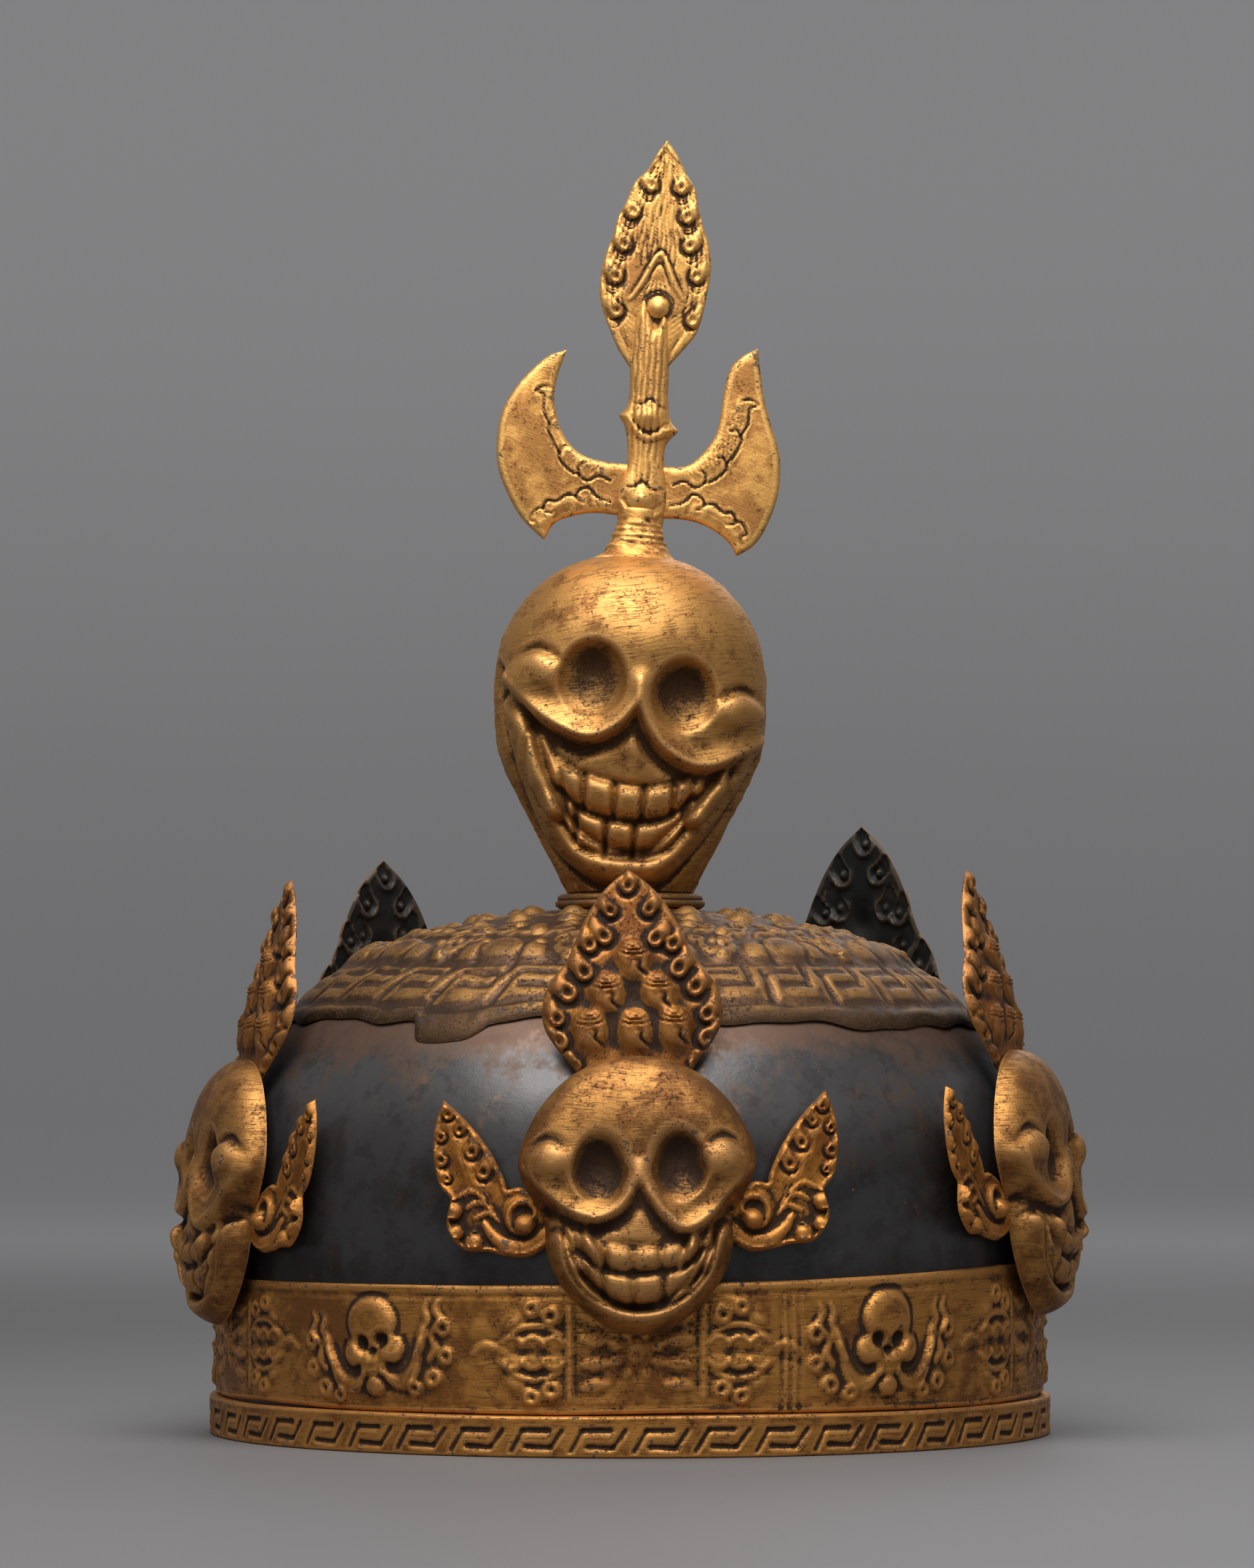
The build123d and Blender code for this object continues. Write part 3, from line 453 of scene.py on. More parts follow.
class Sheet:
    """Points of a copper sheet in mm, and how far out each is beaten."""

    def __init__(self, across, up):
        self.x, self.y = np.ravel(across).astype(float), np.ravel(up).astype(float)
        self.out = np.zeros_like(self.x)
        self.order = np.argsort(self.x)
        self.sorted_x = self.x[self.order]

    def around(self, low, high):
        """Numbers of the points inside a box."""
        first, last = np.searchsorted(self.sorted_x, (low[0], high[0]))
        chosen = self.order[first:last]
        return chosen[(self.y[chosen] > low[1]) & (self.y[chosen] < high[1])]

    def bump(self, x, y, wide, high, rise, turn=0.0, edge=2.0, round_top=False):
        """A round place beaten out, or in where rise is negative."""
        reach = 1.9 * max(wide, high)
        at = self.around((x - reach, y - reach), (x + reach, y + reach))
        if not len(at):
            return
        c, s = cos(turn), sin(turn)
        dx, dy = self.x[at] - x, self.y[at] - y
        far = np.hypot((dx * c + dy * s) / wide, (dy * c - dx * s) / high)
        if round_top:
            self.out[at] += rise * np.sqrt(np.clip(1 - far**2, 0, 1))
        else:
            self.out[at] += rise * np.exp(-(far**edge))

    def pit(self, x, y, wide, high, depth, brow):
        """A cup with a crisp lower rim; its upper rim is stretched and softened by brow."""
        at = self.around((x - wide, y - high), (x + wide, y + high * brow))
        dx, dy = (self.x[at] - x) / wide, (self.y[at] - y) / high
        dy = np.where(dy > 0, dy / brow, dy)
        cup = np.clip(1 - dx**2 - dy**2, 0, 1) ** (0.66 + 1.6 * (brow - 1) * np.clip(dy, 0, 1))
        self.out[at] -= depth * cup * (1 + 0.3 * dy)

    def level(self, points):
        """Height of a drawn line under or over each point."""
        line = smooth_line(points)
        return np.interp(self.x, line[:, 0], line[:, 1])

    def above(self, line):
        """Distance of each point from a line that runs to the right, less than 0 below it."""
        at, off, _, side = self.off_line(line, 500)
        signed = np.empty_like(self.x)
        signed[at] = off * np.where(side < 0, -1, 1)
        return signed

    def off_line(self, line, reach):
        """Near points, their distance from a line, and the share of its length they are at."""
        line = np.asarray(line, float)
        at = self.around(line.min(0) - reach, line.max(0) + reach)
        if not len(at):
            return at, None, None, None
        start, run = line[:-1], np.diff(line, axis=0)
        long = np.maximum(np.hypot(run[:, 0], run[:, 1]), 1e-9)
        walked = np.concatenate([[0], np.cumsum(long)])
        best = np.full(len(at), 1e9)
        share = np.zeros(len(at))
        side = np.zeros(len(at))
        px, py = self.x[at], self.y[at]
        for i in range(len(run)):
            dx, dy = px - start[i, 0], py - start[i, 1]
            along = np.clip((dx * run[i, 0] + dy * run[i, 1]) / long[i] ** 2, 0, 1)
            off = np.hypot(dx - along * run[i, 0], dy - along * run[i, 1])
            closer = off < best
            best[closer] = off[closer]
            share[closer] = (walked[i] + along[closer] * long[i]) / walked[-1]
            side[closer] = (run[i, 0] * dy - run[i, 1] * dx)[closer]
        return at, best, share, side

    def roll(self, points, half, rise, ends=(1.0, 1.0), soft=False, smooth=True, undercut=0.0):
        """A raised bead along a line; ends says how wide it is at its two ends."""
        line = smooth_line(points) if smooth else np.asarray(points, float)
        at, off, share, _ = self.off_line(line, half * 1.8)
        if not len(at):
            return
        both = zip(ends, (share * 2, 2 - share * 2))
        first, last = [e + (1 - e) * np.sqrt(np.clip(s, 0, 1)) for e, s in both]
        swell = np.where(share < 0.5, first, last)
        far = off / np.maximum(half * swell, 0.05)
        body = np.exp(-(far**2) * 1.6) if soft else np.sqrt(np.clip(1 - far**2, 0, 1))
        self.out[at] += rise * np.sqrt(swell) * body
        if undercut:
            self.out[at] -= undercut * np.exp(-(((far - 1.15) / 0.28) ** 2))

    def cut(self, points, half, depth, smooth=True, lip=0.0, fade=False):
        """A chased line, V shaped, with an optional raised lip beside it."""
        line = smooth_line(points) if smooth else np.asarray(points, float)
        at, off, share, _ = self.off_line(line, half * 3.2)
        if not len(at):
            return
        deep = depth * (np.sqrt(np.clip(1.02 - np.abs(2 * share - 1), 0, 1)) if fade else 1.0)
        self.out[at] -= deep * np.exp(-((off / half) ** 2))
        if lip:
            self.out[at] += lip * np.exp(-(((off - 1.8 * half) / (0.6 * half)) ** 2))

    def curl(self, x, y, radius, start, turns=1.1, hand=1, half=0.55, rise=0.9, tail=0.0, pit=0.8):
        """A flame curl: a bead that winds in to a pit, and may have a tail."""
        angle = start + hand * np.linspace(0, turns * 2 * pi, 18)
        size = radius * np.linspace(1, 0.55, 18)
        line = np.column_stack([x + size * np.cos(angle), y + size * np.sin(angle)])
        if tail:
            heading = start - hand * pi / 2
            steps = np.linspace(1, 0.2, 4)[:, None] * tail * radius
            bend = np.linspace(0.6, 0, 4)[:, None] * hand * 0.6
            lead = np.hstack([np.cos(heading - bend) * steps, np.sin(heading - bend) * steps])
            line = np.vstack([line[0] + lead, line])
        self.roll(line, half, rise, ends=(0.35, 0.8), smooth=False)
        if pit:
            self.bump(x, y, radius * 0.55, radius * 0.55, -pit)

    def flame(self, x, y, radius, heading, rise=1.2, pit=1.0, ground=0.8):
        """A teardrop hook of flame with a sunk eye; its tail runs off in the direction heading."""
        c, s = cos(heading), sin(heading)
        bend = 0.4 if c > 0 else -0.4
        tail = [(x, y), (x + radius * (1.3 * c + bend * s), y + radius * (1.3 * s - bend * c)),
                (x + radius * 2.7 * c, y + radius * 2.7 * s)]
        self.roll(tail, radius, rise, ends=(1.0, 0.15))
        self.bump(x + 0.12 * radius * c, y + 0.12 * radius * s, radius * 0.62, radius * 0.5, -pit - 0.4,
                  heading, 3.0)
        turns = heading + pi + np.radians(np.linspace(-115, 115, 12))
        arc = [(x + 1.28 * radius * cos(t), y + 1.28 * radius * sin(t)) for t in turns]
        self.cut(arc, 0.34 * radius, ground, smooth=False, fade=True)

    def dents(self, hand, count, across, up, wide, high, rise):
        """Random shallow dents; each pair gives the least and the most."""
        for _ in range(count):
            x, y, width, height = [hand.uniform(*ends) for ends in (across, up, wide, high)]
            self.bump(x, y, width, height, hand.uniform(-rise, rise))


print("a sheet can", [name for name in vars(Sheet) if name[0] != "_"])

# %% [markdown]
# The marks that the finishes read are measured on the finished mesh. Each point is compared with the average
# of its neighbours, many rings out: a point that lies below that average is in a hollow, and one that lies
# above it is on a ridge. The hollow mark also takes painted shade, raised on faces that point down and
# lowered on faces that point up.

# %% Hollows, ridges and the finished piece


def mark_wear_and_shade(mesh, broad, fine, hollow_mm, ridge_mm):
    """Stores how hollow and how ridged each point is, from 0 to 1, over broad and fine rings of points; the
    hollow mark also holds painted shade, more on faces that point down.
    """
    count = len(mesh.vertices)
    place = np.empty(count * 3, np.float32)
    mesh.vertices.foreach_get("co", place)
    place = place.reshape(-1, 3).astype(float) * 1000
    edge = np.empty(len(mesh.edges) * 2, np.int32)
    mesh.edges.foreach_get("vertices", edge)
    a, b = edge.reshape(-1, 2).T
    normal = np.empty(count * 3, np.float32)
    mesh.vertex_normals.foreach_get("vector", normal)
    normal = normal.reshape(-1, 3)
    ends, others = np.concatenate([a, b]), np.concatenate([b, a])
    links = np.maximum(np.bincount(ends, minlength=count), 1)
    level = place.copy()
    marks = {}
    for step in range(1, broad + 1):
        level = np.column_stack(
            [np.bincount(ends, weights=level[others, k], minlength=count) / links for k in range(3)]
        )
        if step == fine:
            marks["ridge"] = np.clip(-((level - place) * normal).sum(1) / ridge_mm, 0, 1)
    # Painted shade: faces that point down are made more hollow and faces that point up less, as light from
    # above would fall.
    upward = normal[:, 2]
    sunk = ((level - place) * normal).sum(1) / hollow_mm
    marks["hollow"] = np.clip(sunk * (1 - 0.25 * upward) + 0.22 * np.clip(-upward - 0.1, 0, 1), 0, 1)
    for name, values in marks.items():
        stored = mesh.attributes.new(name, "FLOAT", "POINT")
        stored.data.foreach_set("value", values.astype(np.float32))


def handed_over(name, mesh, finishes, nodes, wear_and_shade, crease, spots=None):
    """Shades a mesh, stores its hollow, painted-shade and ridge marks, gives it its metals and hands it to
    the frame.

    The four numbers are what the marking function takes after the mesh: rings for the hollow and
    painted-shade mark, rings for ridges, and mm for each.
    """
    mesh.name = name
    mesh.shade_smooth()
    mesh.set_sharp_from_angle(angle=radians(crease))
    mark_wear_and_shade(mesh, *wear_and_shade)
    mesh.materials.clear()
    for metal in finishes:
        mesh.materials.append(metal)
    if spots is not None:
        mesh.polygons.foreach_set("material_index", np.asarray(spots, np.int32))
    piece = bpy.data.objects.new(name, mesh)
    bpy.context.scene.collection.objects.link(piece)
    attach(piece, "root")
    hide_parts(*nodes)
    mesh.calc_loop_triangles()
    print(name, "points", len(mesh.vertices), "triangles", len(mesh.loop_triangles))


def finished_piece(name, points, faces, finish, nodes, wear_and_shade, spots=None):
    """Makes the mesh from mm and hands it over, in one metal or in several."""
    mesh = bpy.data.meshes.new(name)
    mesh.from_pydata((np.asarray(points) * 0.001).tolist(), [], [list(map(int, f)) for f in faces])
    finishes = finish if isinstance(finish, list) else [finish]
    handed_over(name, mesh, finishes, nodes, wear_and_shade, 60, spots)


def grid_faces(rows, columns, first=0, flip=False, wrap=False):
    """Quads between the rows and columns of a grid of points."""
    r = np.arange(rows - 1)[:, None]
    c = np.arange(columns if wrap else columns - 1)[None, :]
    beside = (c + 1) % columns
    a = first + r * columns + c
    b = first + r * columns + beside
    quads = np.stack([a, b, b + columns, a + columns], -1).reshape(-1, 4)
    return (quads[:, ::-1] if flip else quads).tolist()


def ring_wall(low, high, columns):
    """Quads between two rings of points, given by the numbers of their first points."""
    return [[low + i, low + (i + 1) % columns, high + (i + 1) % columns, high + i] for i in range(columns)]


def ring_fan(ring, top, columns, flip=False):
    """Triangles from a ring of points to one point."""
    fan = [[ring + i, ring + (i + 1) % columns, top] for i in range(columns)]
    return [[b, a, c] for a, b, c in fan] if flip else fan


def round_axis(radius, angle, height):
    """Points at distances from the crown's axis, with angles that start at the front."""
    x, y = radius * np.sin(angle), -radius * np.cos(angle)
    return np.column_stack([np.ravel(x), np.ravel(y), np.ravel(height)])


def rounding(edge, size):
    """How far a rounded rim falls away, for points at a distance from it."""
    near = np.clip(1 - edge / size, 0, 1)
    return size * (1 - np.sqrt(np.clip(1 - near**2, 0, 1)))


print("a ring of three", ring_wall(0, 3, 3))

# %% [markdown]
# The bowl was raised on a stake and spun true enough, but hand-hammered, so its rule is a profile that
# turns round an axis with shallow dents over it. Geometry Nodes suit that: one tree turns a drawn
# profile round the axis and pushes the sheet in and out with a fixed noise. The collar, the trident's
# neck and the bell of the bosses are turned by the same tree.

# %% Turned sheet


class Shaping(Nodes):
    """A tree of geometry nodes with a shape, named numbers and a metal as inputs."""

    def __init__(self, name, shape, values):
        super().__init__(bpy.data.node_groups.new(name, "GeometryNodeTree"))
        new_socket = self.tree.interface.new_socket
        new_socket(shape, in_out="INPUT", socket_type="NodeSocketGeometry")
        for title, value in values.items():
            kind = "NodeSocketInt" if isinstance(value, int) else "NodeSocketFloat"
            new_socket(title, in_out="INPUT", socket_type=kind).default_value = value
        new_socket("Metal", in_out="INPUT", socket_type="NodeSocketMaterial")
        new_socket("Made", in_out="OUTPUT", socket_type="NodeSocketGeometry")
        entry = self.tree.nodes.new("NodeGroupInput")
        self.given = {socket.name: Wire(self, socket) for socket in entry.outputs}

    def close(self, shape):
        """Makes copies real, gives the mesh its metal and ends the tree."""
        real = self.node("GeometryNodeRealizeInstances", {}, {"Geometry": shape})
        asked = {"Geometry": real, "Material": self.given["Metal"]}
        painted = self.node("GeometryNodeSetMaterial", {}, asked)
        self.tree.links.new(painted.socket, self.tree.nodes.new("NodeGroupOutput").inputs[0])

    def made_from(self, maker, values):
        """Plain mesh that the tree makes of an object, which is then thrown away."""
        bpy.context.scene.collection.objects.link(maker)
        modifier = maker.modifiers.new("make", "NODES")
        modifier.node_group = self.tree
        for entry in self.tree.interface.items_tree:
            if entry.in_out == "INPUT" and entry.name in values:
                modifier[entry.identifier] = values[entry.name]
        graph = bpy.context.evaluated_depsgraph_get()
        mesh = bpy.data.meshes.new_from_object(maker.evaluated_get(graph))
        bpy.data.objects.remove(maker)
        return mesh


def turned_tree():
    """Turns a profile curve round the Z axis and dents the sheet between foot and crown."""
    tree = Shaping("turned_sheet", "Profile", {"Around": 128, "Dent depth": 0.0, "Dent scale": 20.0})
    node, given = tree.node, tree.given
    ring = node("GeometryNodeCurvePrimitiveCircle", {}, {"Resolution": given["Around"], "Radius": 0.0001})
    swept = node("GeometryNodeCurveToMesh", {}, {"Curve": ring, "Profile Curve": given["Profile"]})
    outside = node("GeometryNodeFlipFaces", {}, {"Mesh": swept})
    merged = node("GeometryNodeMergeByDistance", {}, {"Geometry": outside, "Distance": 0.00002})
    noise = node("ShaderNodeTexNoise", {}, {"Scale": given["Dent scale"], "Detail": 1.5})
    place = node("GeometryNodeInputPosition")
    height = node("ShaderNodeSeparateXYZ", {}, {0: place}, out=2)
    deep = (noise - 0.5) * given["Dent depth"]
    deep = deep * tree.step(height, 0.042, 0.056) * tree.step(height, 0.108, 0.092)
    outwards = node("ShaderNodeVectorMath", {"operation": "NORMALIZE"}, {0: place})
    push = node("ShaderNodeVectorMath", {"operation": "SCALE"}, {0: outwards, "Scale": deep})
    tree.close(node("GeometryNodeSetPosition", {}, {"Geometry": merged, "Offset": push}))
    return tree


turned_sheet = turned_tree()


def turned_mesh(name, profile, around, metal, dent=0.0, dent_scale=20.0):
    """Plain mesh of a profile in mm, given as radius and height, turned round the axis."""
    curve = bpy.data.curves.new(name + "_profile", "CURVE")
    curve.dimensions = "3D"
    line = curve.splines.new("POLY")
    line.points.add(len(profile) - 1)
    for point, (radius, height) in zip(line.points, profile):
        point.co = (radius * 0.001 - 0.0001, -height * 0.001, 0, 1)
    maker = bpy.data.objects.new(name + "_profile", curve)
    values = {"Around": around, "Dent depth": dent * 0.001, "Dent scale": dent_scale, "Metal": metal}
    return turned_sheet.made_from(maker, values)


print("turned tree nodes", len(turned_sheet.tree.nodes))

# %% Bowl
SHEET = 1.2
ARC, SHOULDER, MIDDLE, JOIN = 200.0, 65.7, 37.3, radians(73.9)


def dome_profile(out, steps=(8, 44, 40)):
    """Radius and height of the bowl's surface, out mm outside it, from the foot to the crown."""
    wall = [(103 + out, z) for z in np.linspace(0.0, 60, steps[0], endpoint=False)]
    turn = np.linspace(0, JOIN, steps[1], endpoint=False)
    reach = SHOULDER + out
    shoulder = [(MIDDLE + reach * cos(t), 60 + reach * sin(t)) for t in turn]
    turn = np.linspace(JOIN, pi / 2, steps[2])
    crown = [((ARC + out) * cos(t), -69 + (ARC + out) * sin(t)) for t in turn]
    return wall + shoulder + crown


def crown_height(radius, out):
    """Height of the bowl's surface, out mm outside it, at a distance from the axis."""
    radius = np.asarray(radius, float)
    flat = -69 + np.sqrt((ARC + out) ** 2 - radius**2)
    round_part = 60 + np.sqrt(np.clip((SHOULDER + out) ** 2 - (radius - MIDDLE) ** 2, 0, None))
    return np.where(radius <= (ARC + out) * cos(JOIN), flat, round_part)


inside = dome_profile(-SHEET, steps=(4, 14, 10))[::-1]
bowl_loop = dome_profile(0.0) + [(0.1, 131 - SHEET)] + inside[1:] + [(101.8, 0.0), (103.0, 0.0)]
bowl_mesh = turned_mesh("bowl_sheet", bowl_loop, 128, bowl_patina, dent=1.6, dent_scale=24)
handed_over("bowl_sheet", bowl_mesh, [bowl_patina], ["bowl"], (24, 6, 0.5, 0.12), 40)

# %% [markdown]
# The six big skulls share one way of being made: a plain dome first, then the face beaten into it with
# spoon-shaped eyes, one long bead that loops under both eyes, a wide grin of teeth and a thick jaw.
# The tables below give each place as shares of half the width and of the height.

# %% Face of a skull
mask_face = {
    "eyes": [(-0.315, 0.575, 0.235, 0.112), (0.355, 0.575, 0.235, 0.112)],
    "loop": [
        (-0.93, 0.6), (-0.78, 0.526), (-0.59, 0.463), (-0.374, 0.423), (-0.184, 0.457), (-0.06, 0.54),
        (0.01, 0.6), (0.075, 0.53), (0.222, 0.423), (0.385, 0.377), (0.575, 0.423), (0.74, 0.503),
        (0.93, 0.585),
    ],
    "lobes": [(-0.753, 0.618, 0.17, 0.05), (0.72, 0.613, 0.18, 0.052)],
    "jaw": [
        (-0.7, 0.345), (-0.655, 0.26), (-0.57, 0.175), (-0.42, 0.105), (-0.238, 0.058), (0.0, 0.04),
        (0.25, 0.064), (0.466, 0.125), (0.6, 0.2), (0.69, 0.28), (0.74, 0.36),
    ],
    "lip": [(-0.6, 0.395), (-0.45, 0.352), (-0.25, 0.318), (0.0, 0.302), (0.26, 0.314), (0.47, 0.35),
            (0.64, 0.392)],
    "meet": [(-0.52, 0.295), (-0.34, 0.236), (-0.16, 0.213), (0.0, 0.208), (0.18, 0.214), (0.36, 0.24),
             (0.54, 0.3)],
    "low": [(-0.5, 0.215), (-0.33, 0.135), (-0.15, 0.098), (0.0, 0.092), (0.17, 0.099), (0.35, 0.138),
            (0.52, 0.22)],
    "upper_gaps": [-0.3, -0.07, 0.17, 0.38],
    "lower_gaps": [-0.32, -0.07, 0.19],
    "snout": (0.0, 0.395, 0.2, 0.05),
    "folds": [
        (1.5, [(0.45, 0.385), (0.43, 0.3), (0.31, 0.215)]),
        (1.5, [(0.6, 0.375), (0.56, 0.265), (0.43, 0.165), (0.26, 0.115)]),
    ],
    "holes": [(-0.8, 0.435), (0.8, 0.435)],
    "step": 0.32,
    "brow": 1.35,
    "brim": (0.44, 3.6),
}
round_face = {
    "eyes": [(-0.31, 0.604, 0.255, 0.108), (0.37, 0.576, 0.245, 0.103)],
    "loop": [
        (-0.88, 0.6), (-0.68, 0.523), (-0.49, 0.477), (-0.3, 0.455), (-0.13, 0.488), (-0.01, 0.55),
        (0.05, 0.612), (0.13, 0.515), (0.264, 0.438), (0.452, 0.396), (0.6, 0.4), (0.75, 0.432),
        (0.91, 0.475),
    ],
    "lobes": [(-0.72, 0.62, 0.17, 0.045), (0.79, 0.545, 0.17, 0.045)],
    "jaw": [
        (-0.9, 0.53), (-0.82, 0.442), (-0.716, 0.335), (-0.6, 0.242), (-0.47, 0.158), (-0.245, 0.088),
        (0.02, 0.066), (0.264, 0.082), (0.452, 0.158), (0.6, 0.242), (0.753, 0.342), (0.88, 0.44),
    ],
    "lip": [(-0.56, 0.4), (-0.47, 0.357), (-0.245, 0.327), (0.02, 0.308), (0.245, 0.315), (0.42, 0.343),
            (0.56, 0.4)],
    "meet": [(-0.5, 0.285), (-0.33, 0.232), (-0.16, 0.212), (0.02, 0.204), (0.2, 0.21), (0.36, 0.235),
             (0.5, 0.29)],
    "low": [(-0.44, 0.19), (-0.31, 0.125), (-0.14, 0.105), (0.02, 0.101), (0.19, 0.105), (0.34, 0.14),
            (0.45, 0.2)],
    "upper_gaps": [-0.32, -0.085, 0.132, 0.358],
    "lower_gaps": [-0.36, -0.132, 0.085],
    "snout": (0.03, 0.4, 0.26, 0.055),
    "folds": [(3, [(0.7, 0.44), (0.61, 0.32), (0.48, 0.205)])],
    "holes": [],
    "step": 0.42,
    "brow": 1.1,
    "brim": (0.54, 4.2),
}


def beat_face(sheet, half, height, face, deep, hand=None):
    """Beats a skull's face into a sheet that is half wide each side and height high, from the chin up."""
    size = half / 28

    def spot(place):
        x, y = place[0] * half, place[1] * height
        if hand is not None:
            x, y = x + hand.normal(0, 0.2), y + hand.normal(0, 0.2)
        return x, y

    sheet.bump(0, 0.8 * height, 0.8 * half, 0.24 * height, 0.16 * deep, edge=2.4)
    for across, up, wide, high in face["eyes"]:
        x, y = spot((across, up))
        sheet.bump(x, y, wide * half * 1.45, high * height * 1.4, -0.2 * deep, edge=3.5)
        sheet.pit(x, y, wide * half, high * height, 0.95 * deep, face["brow"])
    loop = [spot(p) for p in face["loop"]]
    above = sheet.above(smooth_line(loop))
    sheet.out -= face["step"] * deep * (1 - ease((above / size + 3) / 1.7))
    sheet.out -= 0.2 * deep * np.exp(-((above / size + 3.9) ** 2))
    below = 1 - ease((above / size + 3.4) / 1.6)
    upper = sheet.out.copy()
    across, up, wide, high = face["snout"]
    x, y = spot((across, up))
    lip, meet, low = [[spot(p) for p in face[k]] for k in ("lip", "meet", "low")]
    lip_y = sheet.level(lip)
    drop = np.clip((y + 2.1 * high * height - sheet.y) / (y + 2.1 * high * height - lip_y), 0, 1.2)
    beak = ease((1.75 * wide * half * drop - np.abs(sheet.x - x)) / (1.2 * size) + 0.5)
    beak *= ease((sheet.y - lip_y) / (0.8 * size)) * (drop > 0)
    tip = 0.2 * np.exp(-(((sheet.x - x) / (2.4 * size)) ** 2)) * (1 - 0.5 * drop)
    sheet.out += beak * deep * (0.2 + tip)
    mouth = ease((0.62 * half - np.abs(sheet.x)) / (0.16 * half))
    for top_line, foot_line, rise in ((lip, meet, 0.5), (meet, low, 0.42)):
        top_y, foot_y = sheet.level(top_line), sheet.level(foot_line)
        share = np.clip((sheet.y - foot_y) / np.maximum(top_y - foot_y, 0.5), 0, 1)
        sheet.out += rise * deep * mouth * np.clip(1 - np.abs(2 * share - 1) ** 3.2, 0, 1) ** 0.75
    for row, other, gaps in ((lip, meet, face["upper_gaps"]), (meet, low, face["lower_gaps"])):
        top_line, low_line = smooth_line(row), smooth_line(other)
        for gap in gaps:
            x = gap * half
            y_top = np.interp(x, top_line[:, 0], top_line[:, 1])
            y_low = np.interp(x * 0.96, low_line[:, 0], low_line[:, 1])
            sheet.cut([(x, y_top - 0.8), (x * 0.96, y_low + 0.3)], 0.5 * size, 0.42 * deep, smooth=False)
    sheet.cut(low, 1.1 * size, 0.36 * deep)
    sheet.cut(meet, 0.7 * size, 0.16 * deep)
    jaw = [spot(p) for p in face["jaw"]]
    sheet.roll(jaw, 3.4 * size, 0.66 * deep, ends=(0.6, 0.6), undercut=0.22 * deep)
    for side in (-1, 1):
        for wide, fold in face["folds"]:
            line = [spot((side * x, y)) for x, y in fold]
            sheet.roll(line, wide * size, 0.32 * deep, ends=(0.4, 0.3), undercut=0.16 * deep)
    sheet.out = upper + (sheet.out - upper) * below
    crest = above / size + 0.9
    rise, reach = face["brim"]
    sheet.out += rise * deep * ease((crest + 2.3) / 2.3) * (1 - np.clip(crest / reach, 0, 1)) ** 1.5
    for across, up, wide, high in face["lobes"]:
        x, y = spot((across, up))
        sheet.bump(x, y, wide * half * 1.1, high * height * 1.3, 0.4 * deep, edge=3)
        sheet.bump(x, y, wide * half * 1.4, high * height * 1.5, 0.1 * deep)
        low, top = y + 0.6 * high * height, y + 1.55 * high * height
        lid = [(x - wide * half * 1.15, low), (x, top), (x + wide * half * 1.15, low)]
        sheet.cut(lid, 0.85 * size, 0.42 * deep, fade=True)
    for hole in face["holes"]:
        x, y = spot(hole)
        sheet.bump(x, y, 1.7 * size, 1.5 * size, -0.6 * deep)


print("a mask's eyes", mask_face["eyes"])

# %% [markdown]
# A plaque skull is a hollow shell. Its points are a square grid pressed round into a disc and then out
# to the skull's outline, which keeps them even and leaves no pole. The inner shell is a grid with cells
# four times as wide, and it is sewn to the rim four to one, which closes the sheet.

# %% Plaque skulls
mask_outline = np.array([
    (0.0, 0.0), (0.02, 0.24), (0.08, 0.45), (0.16, 0.63), (0.24, 0.74), (0.32, 0.79), (0.42, 0.8),
    (0.52, 0.93), (0.6, 1), (0.66, 0.99), (0.74, 0.92), (0.83, 0.79), (0.92, 0.58), (0.98, 0.31),
    (1, 0.0),
])
MASK_WIDE, MASK_HIGH, MASK_DEEP = 56, 66, 11


def outline_reach(angle):
    """Distance from the middle of the skull to its edge, at an angle from sideways."""
    x = mask_outline[:, 1] * MASK_WIDE / 2
    y = (mask_outline[:, 0] - 0.5) * MASK_HIGH
    line = smooth_line(np.vstack([[-x[1], y[1]], np.column_stack([x, y]), [-x[-2], y[-2]]]), 9)
    line = line[line[:, 0] > -1e-6]
    angles = np.arctan2(line[:, 1], np.maximum(line[:, 0], 0))
    folded = np.arcsin(np.clip(np.sin(angle), -1, 1))
    return np.interp(folded, angles, np.hypot(line[:, 0], line[:, 1]))


def mask_grid(cells, inset):
    """Points of the plain dome of a plaque skull: across, up, out, and how far in from its rim."""
    line = np.linspace(-1, 1, cells + 1)
    sx, sy = np.meshgrid(line, line)
    dx, dy = sx * np.sqrt(1 - sy**2 / 2), sy * np.sqrt(1 - sx**2 / 2)
    share = np.minimum(1, np.hypot(dx, dy))
    angle = np.arctan2(dy, dx)
    spread = np.sin(share * pi / 2)
    reach = spread * (outline_reach(angle) - inset)
    dome = np.sqrt(np.clip(1 - spread**3.2, 0, 1))
    dome[share > 0.9999] = 0
    return (reach * np.cos(angle)).ravel(), (MASK_HIGH / 2 + reach * np.sin(angle)).ravel(), dome.ravel()


def rim_loop(cells, first=0):
    """Numbers of the points round the edge of a square grid."""
    n = cells + 1
    loop = [i for i in range(n)] + [row * n + cells for row in range(1, n)]
    loop += [n * n - 1 - i for i in range(1, n)] + [row * n for row in range(n - 2, 0, -1)]
    return [first + i for i in loop]


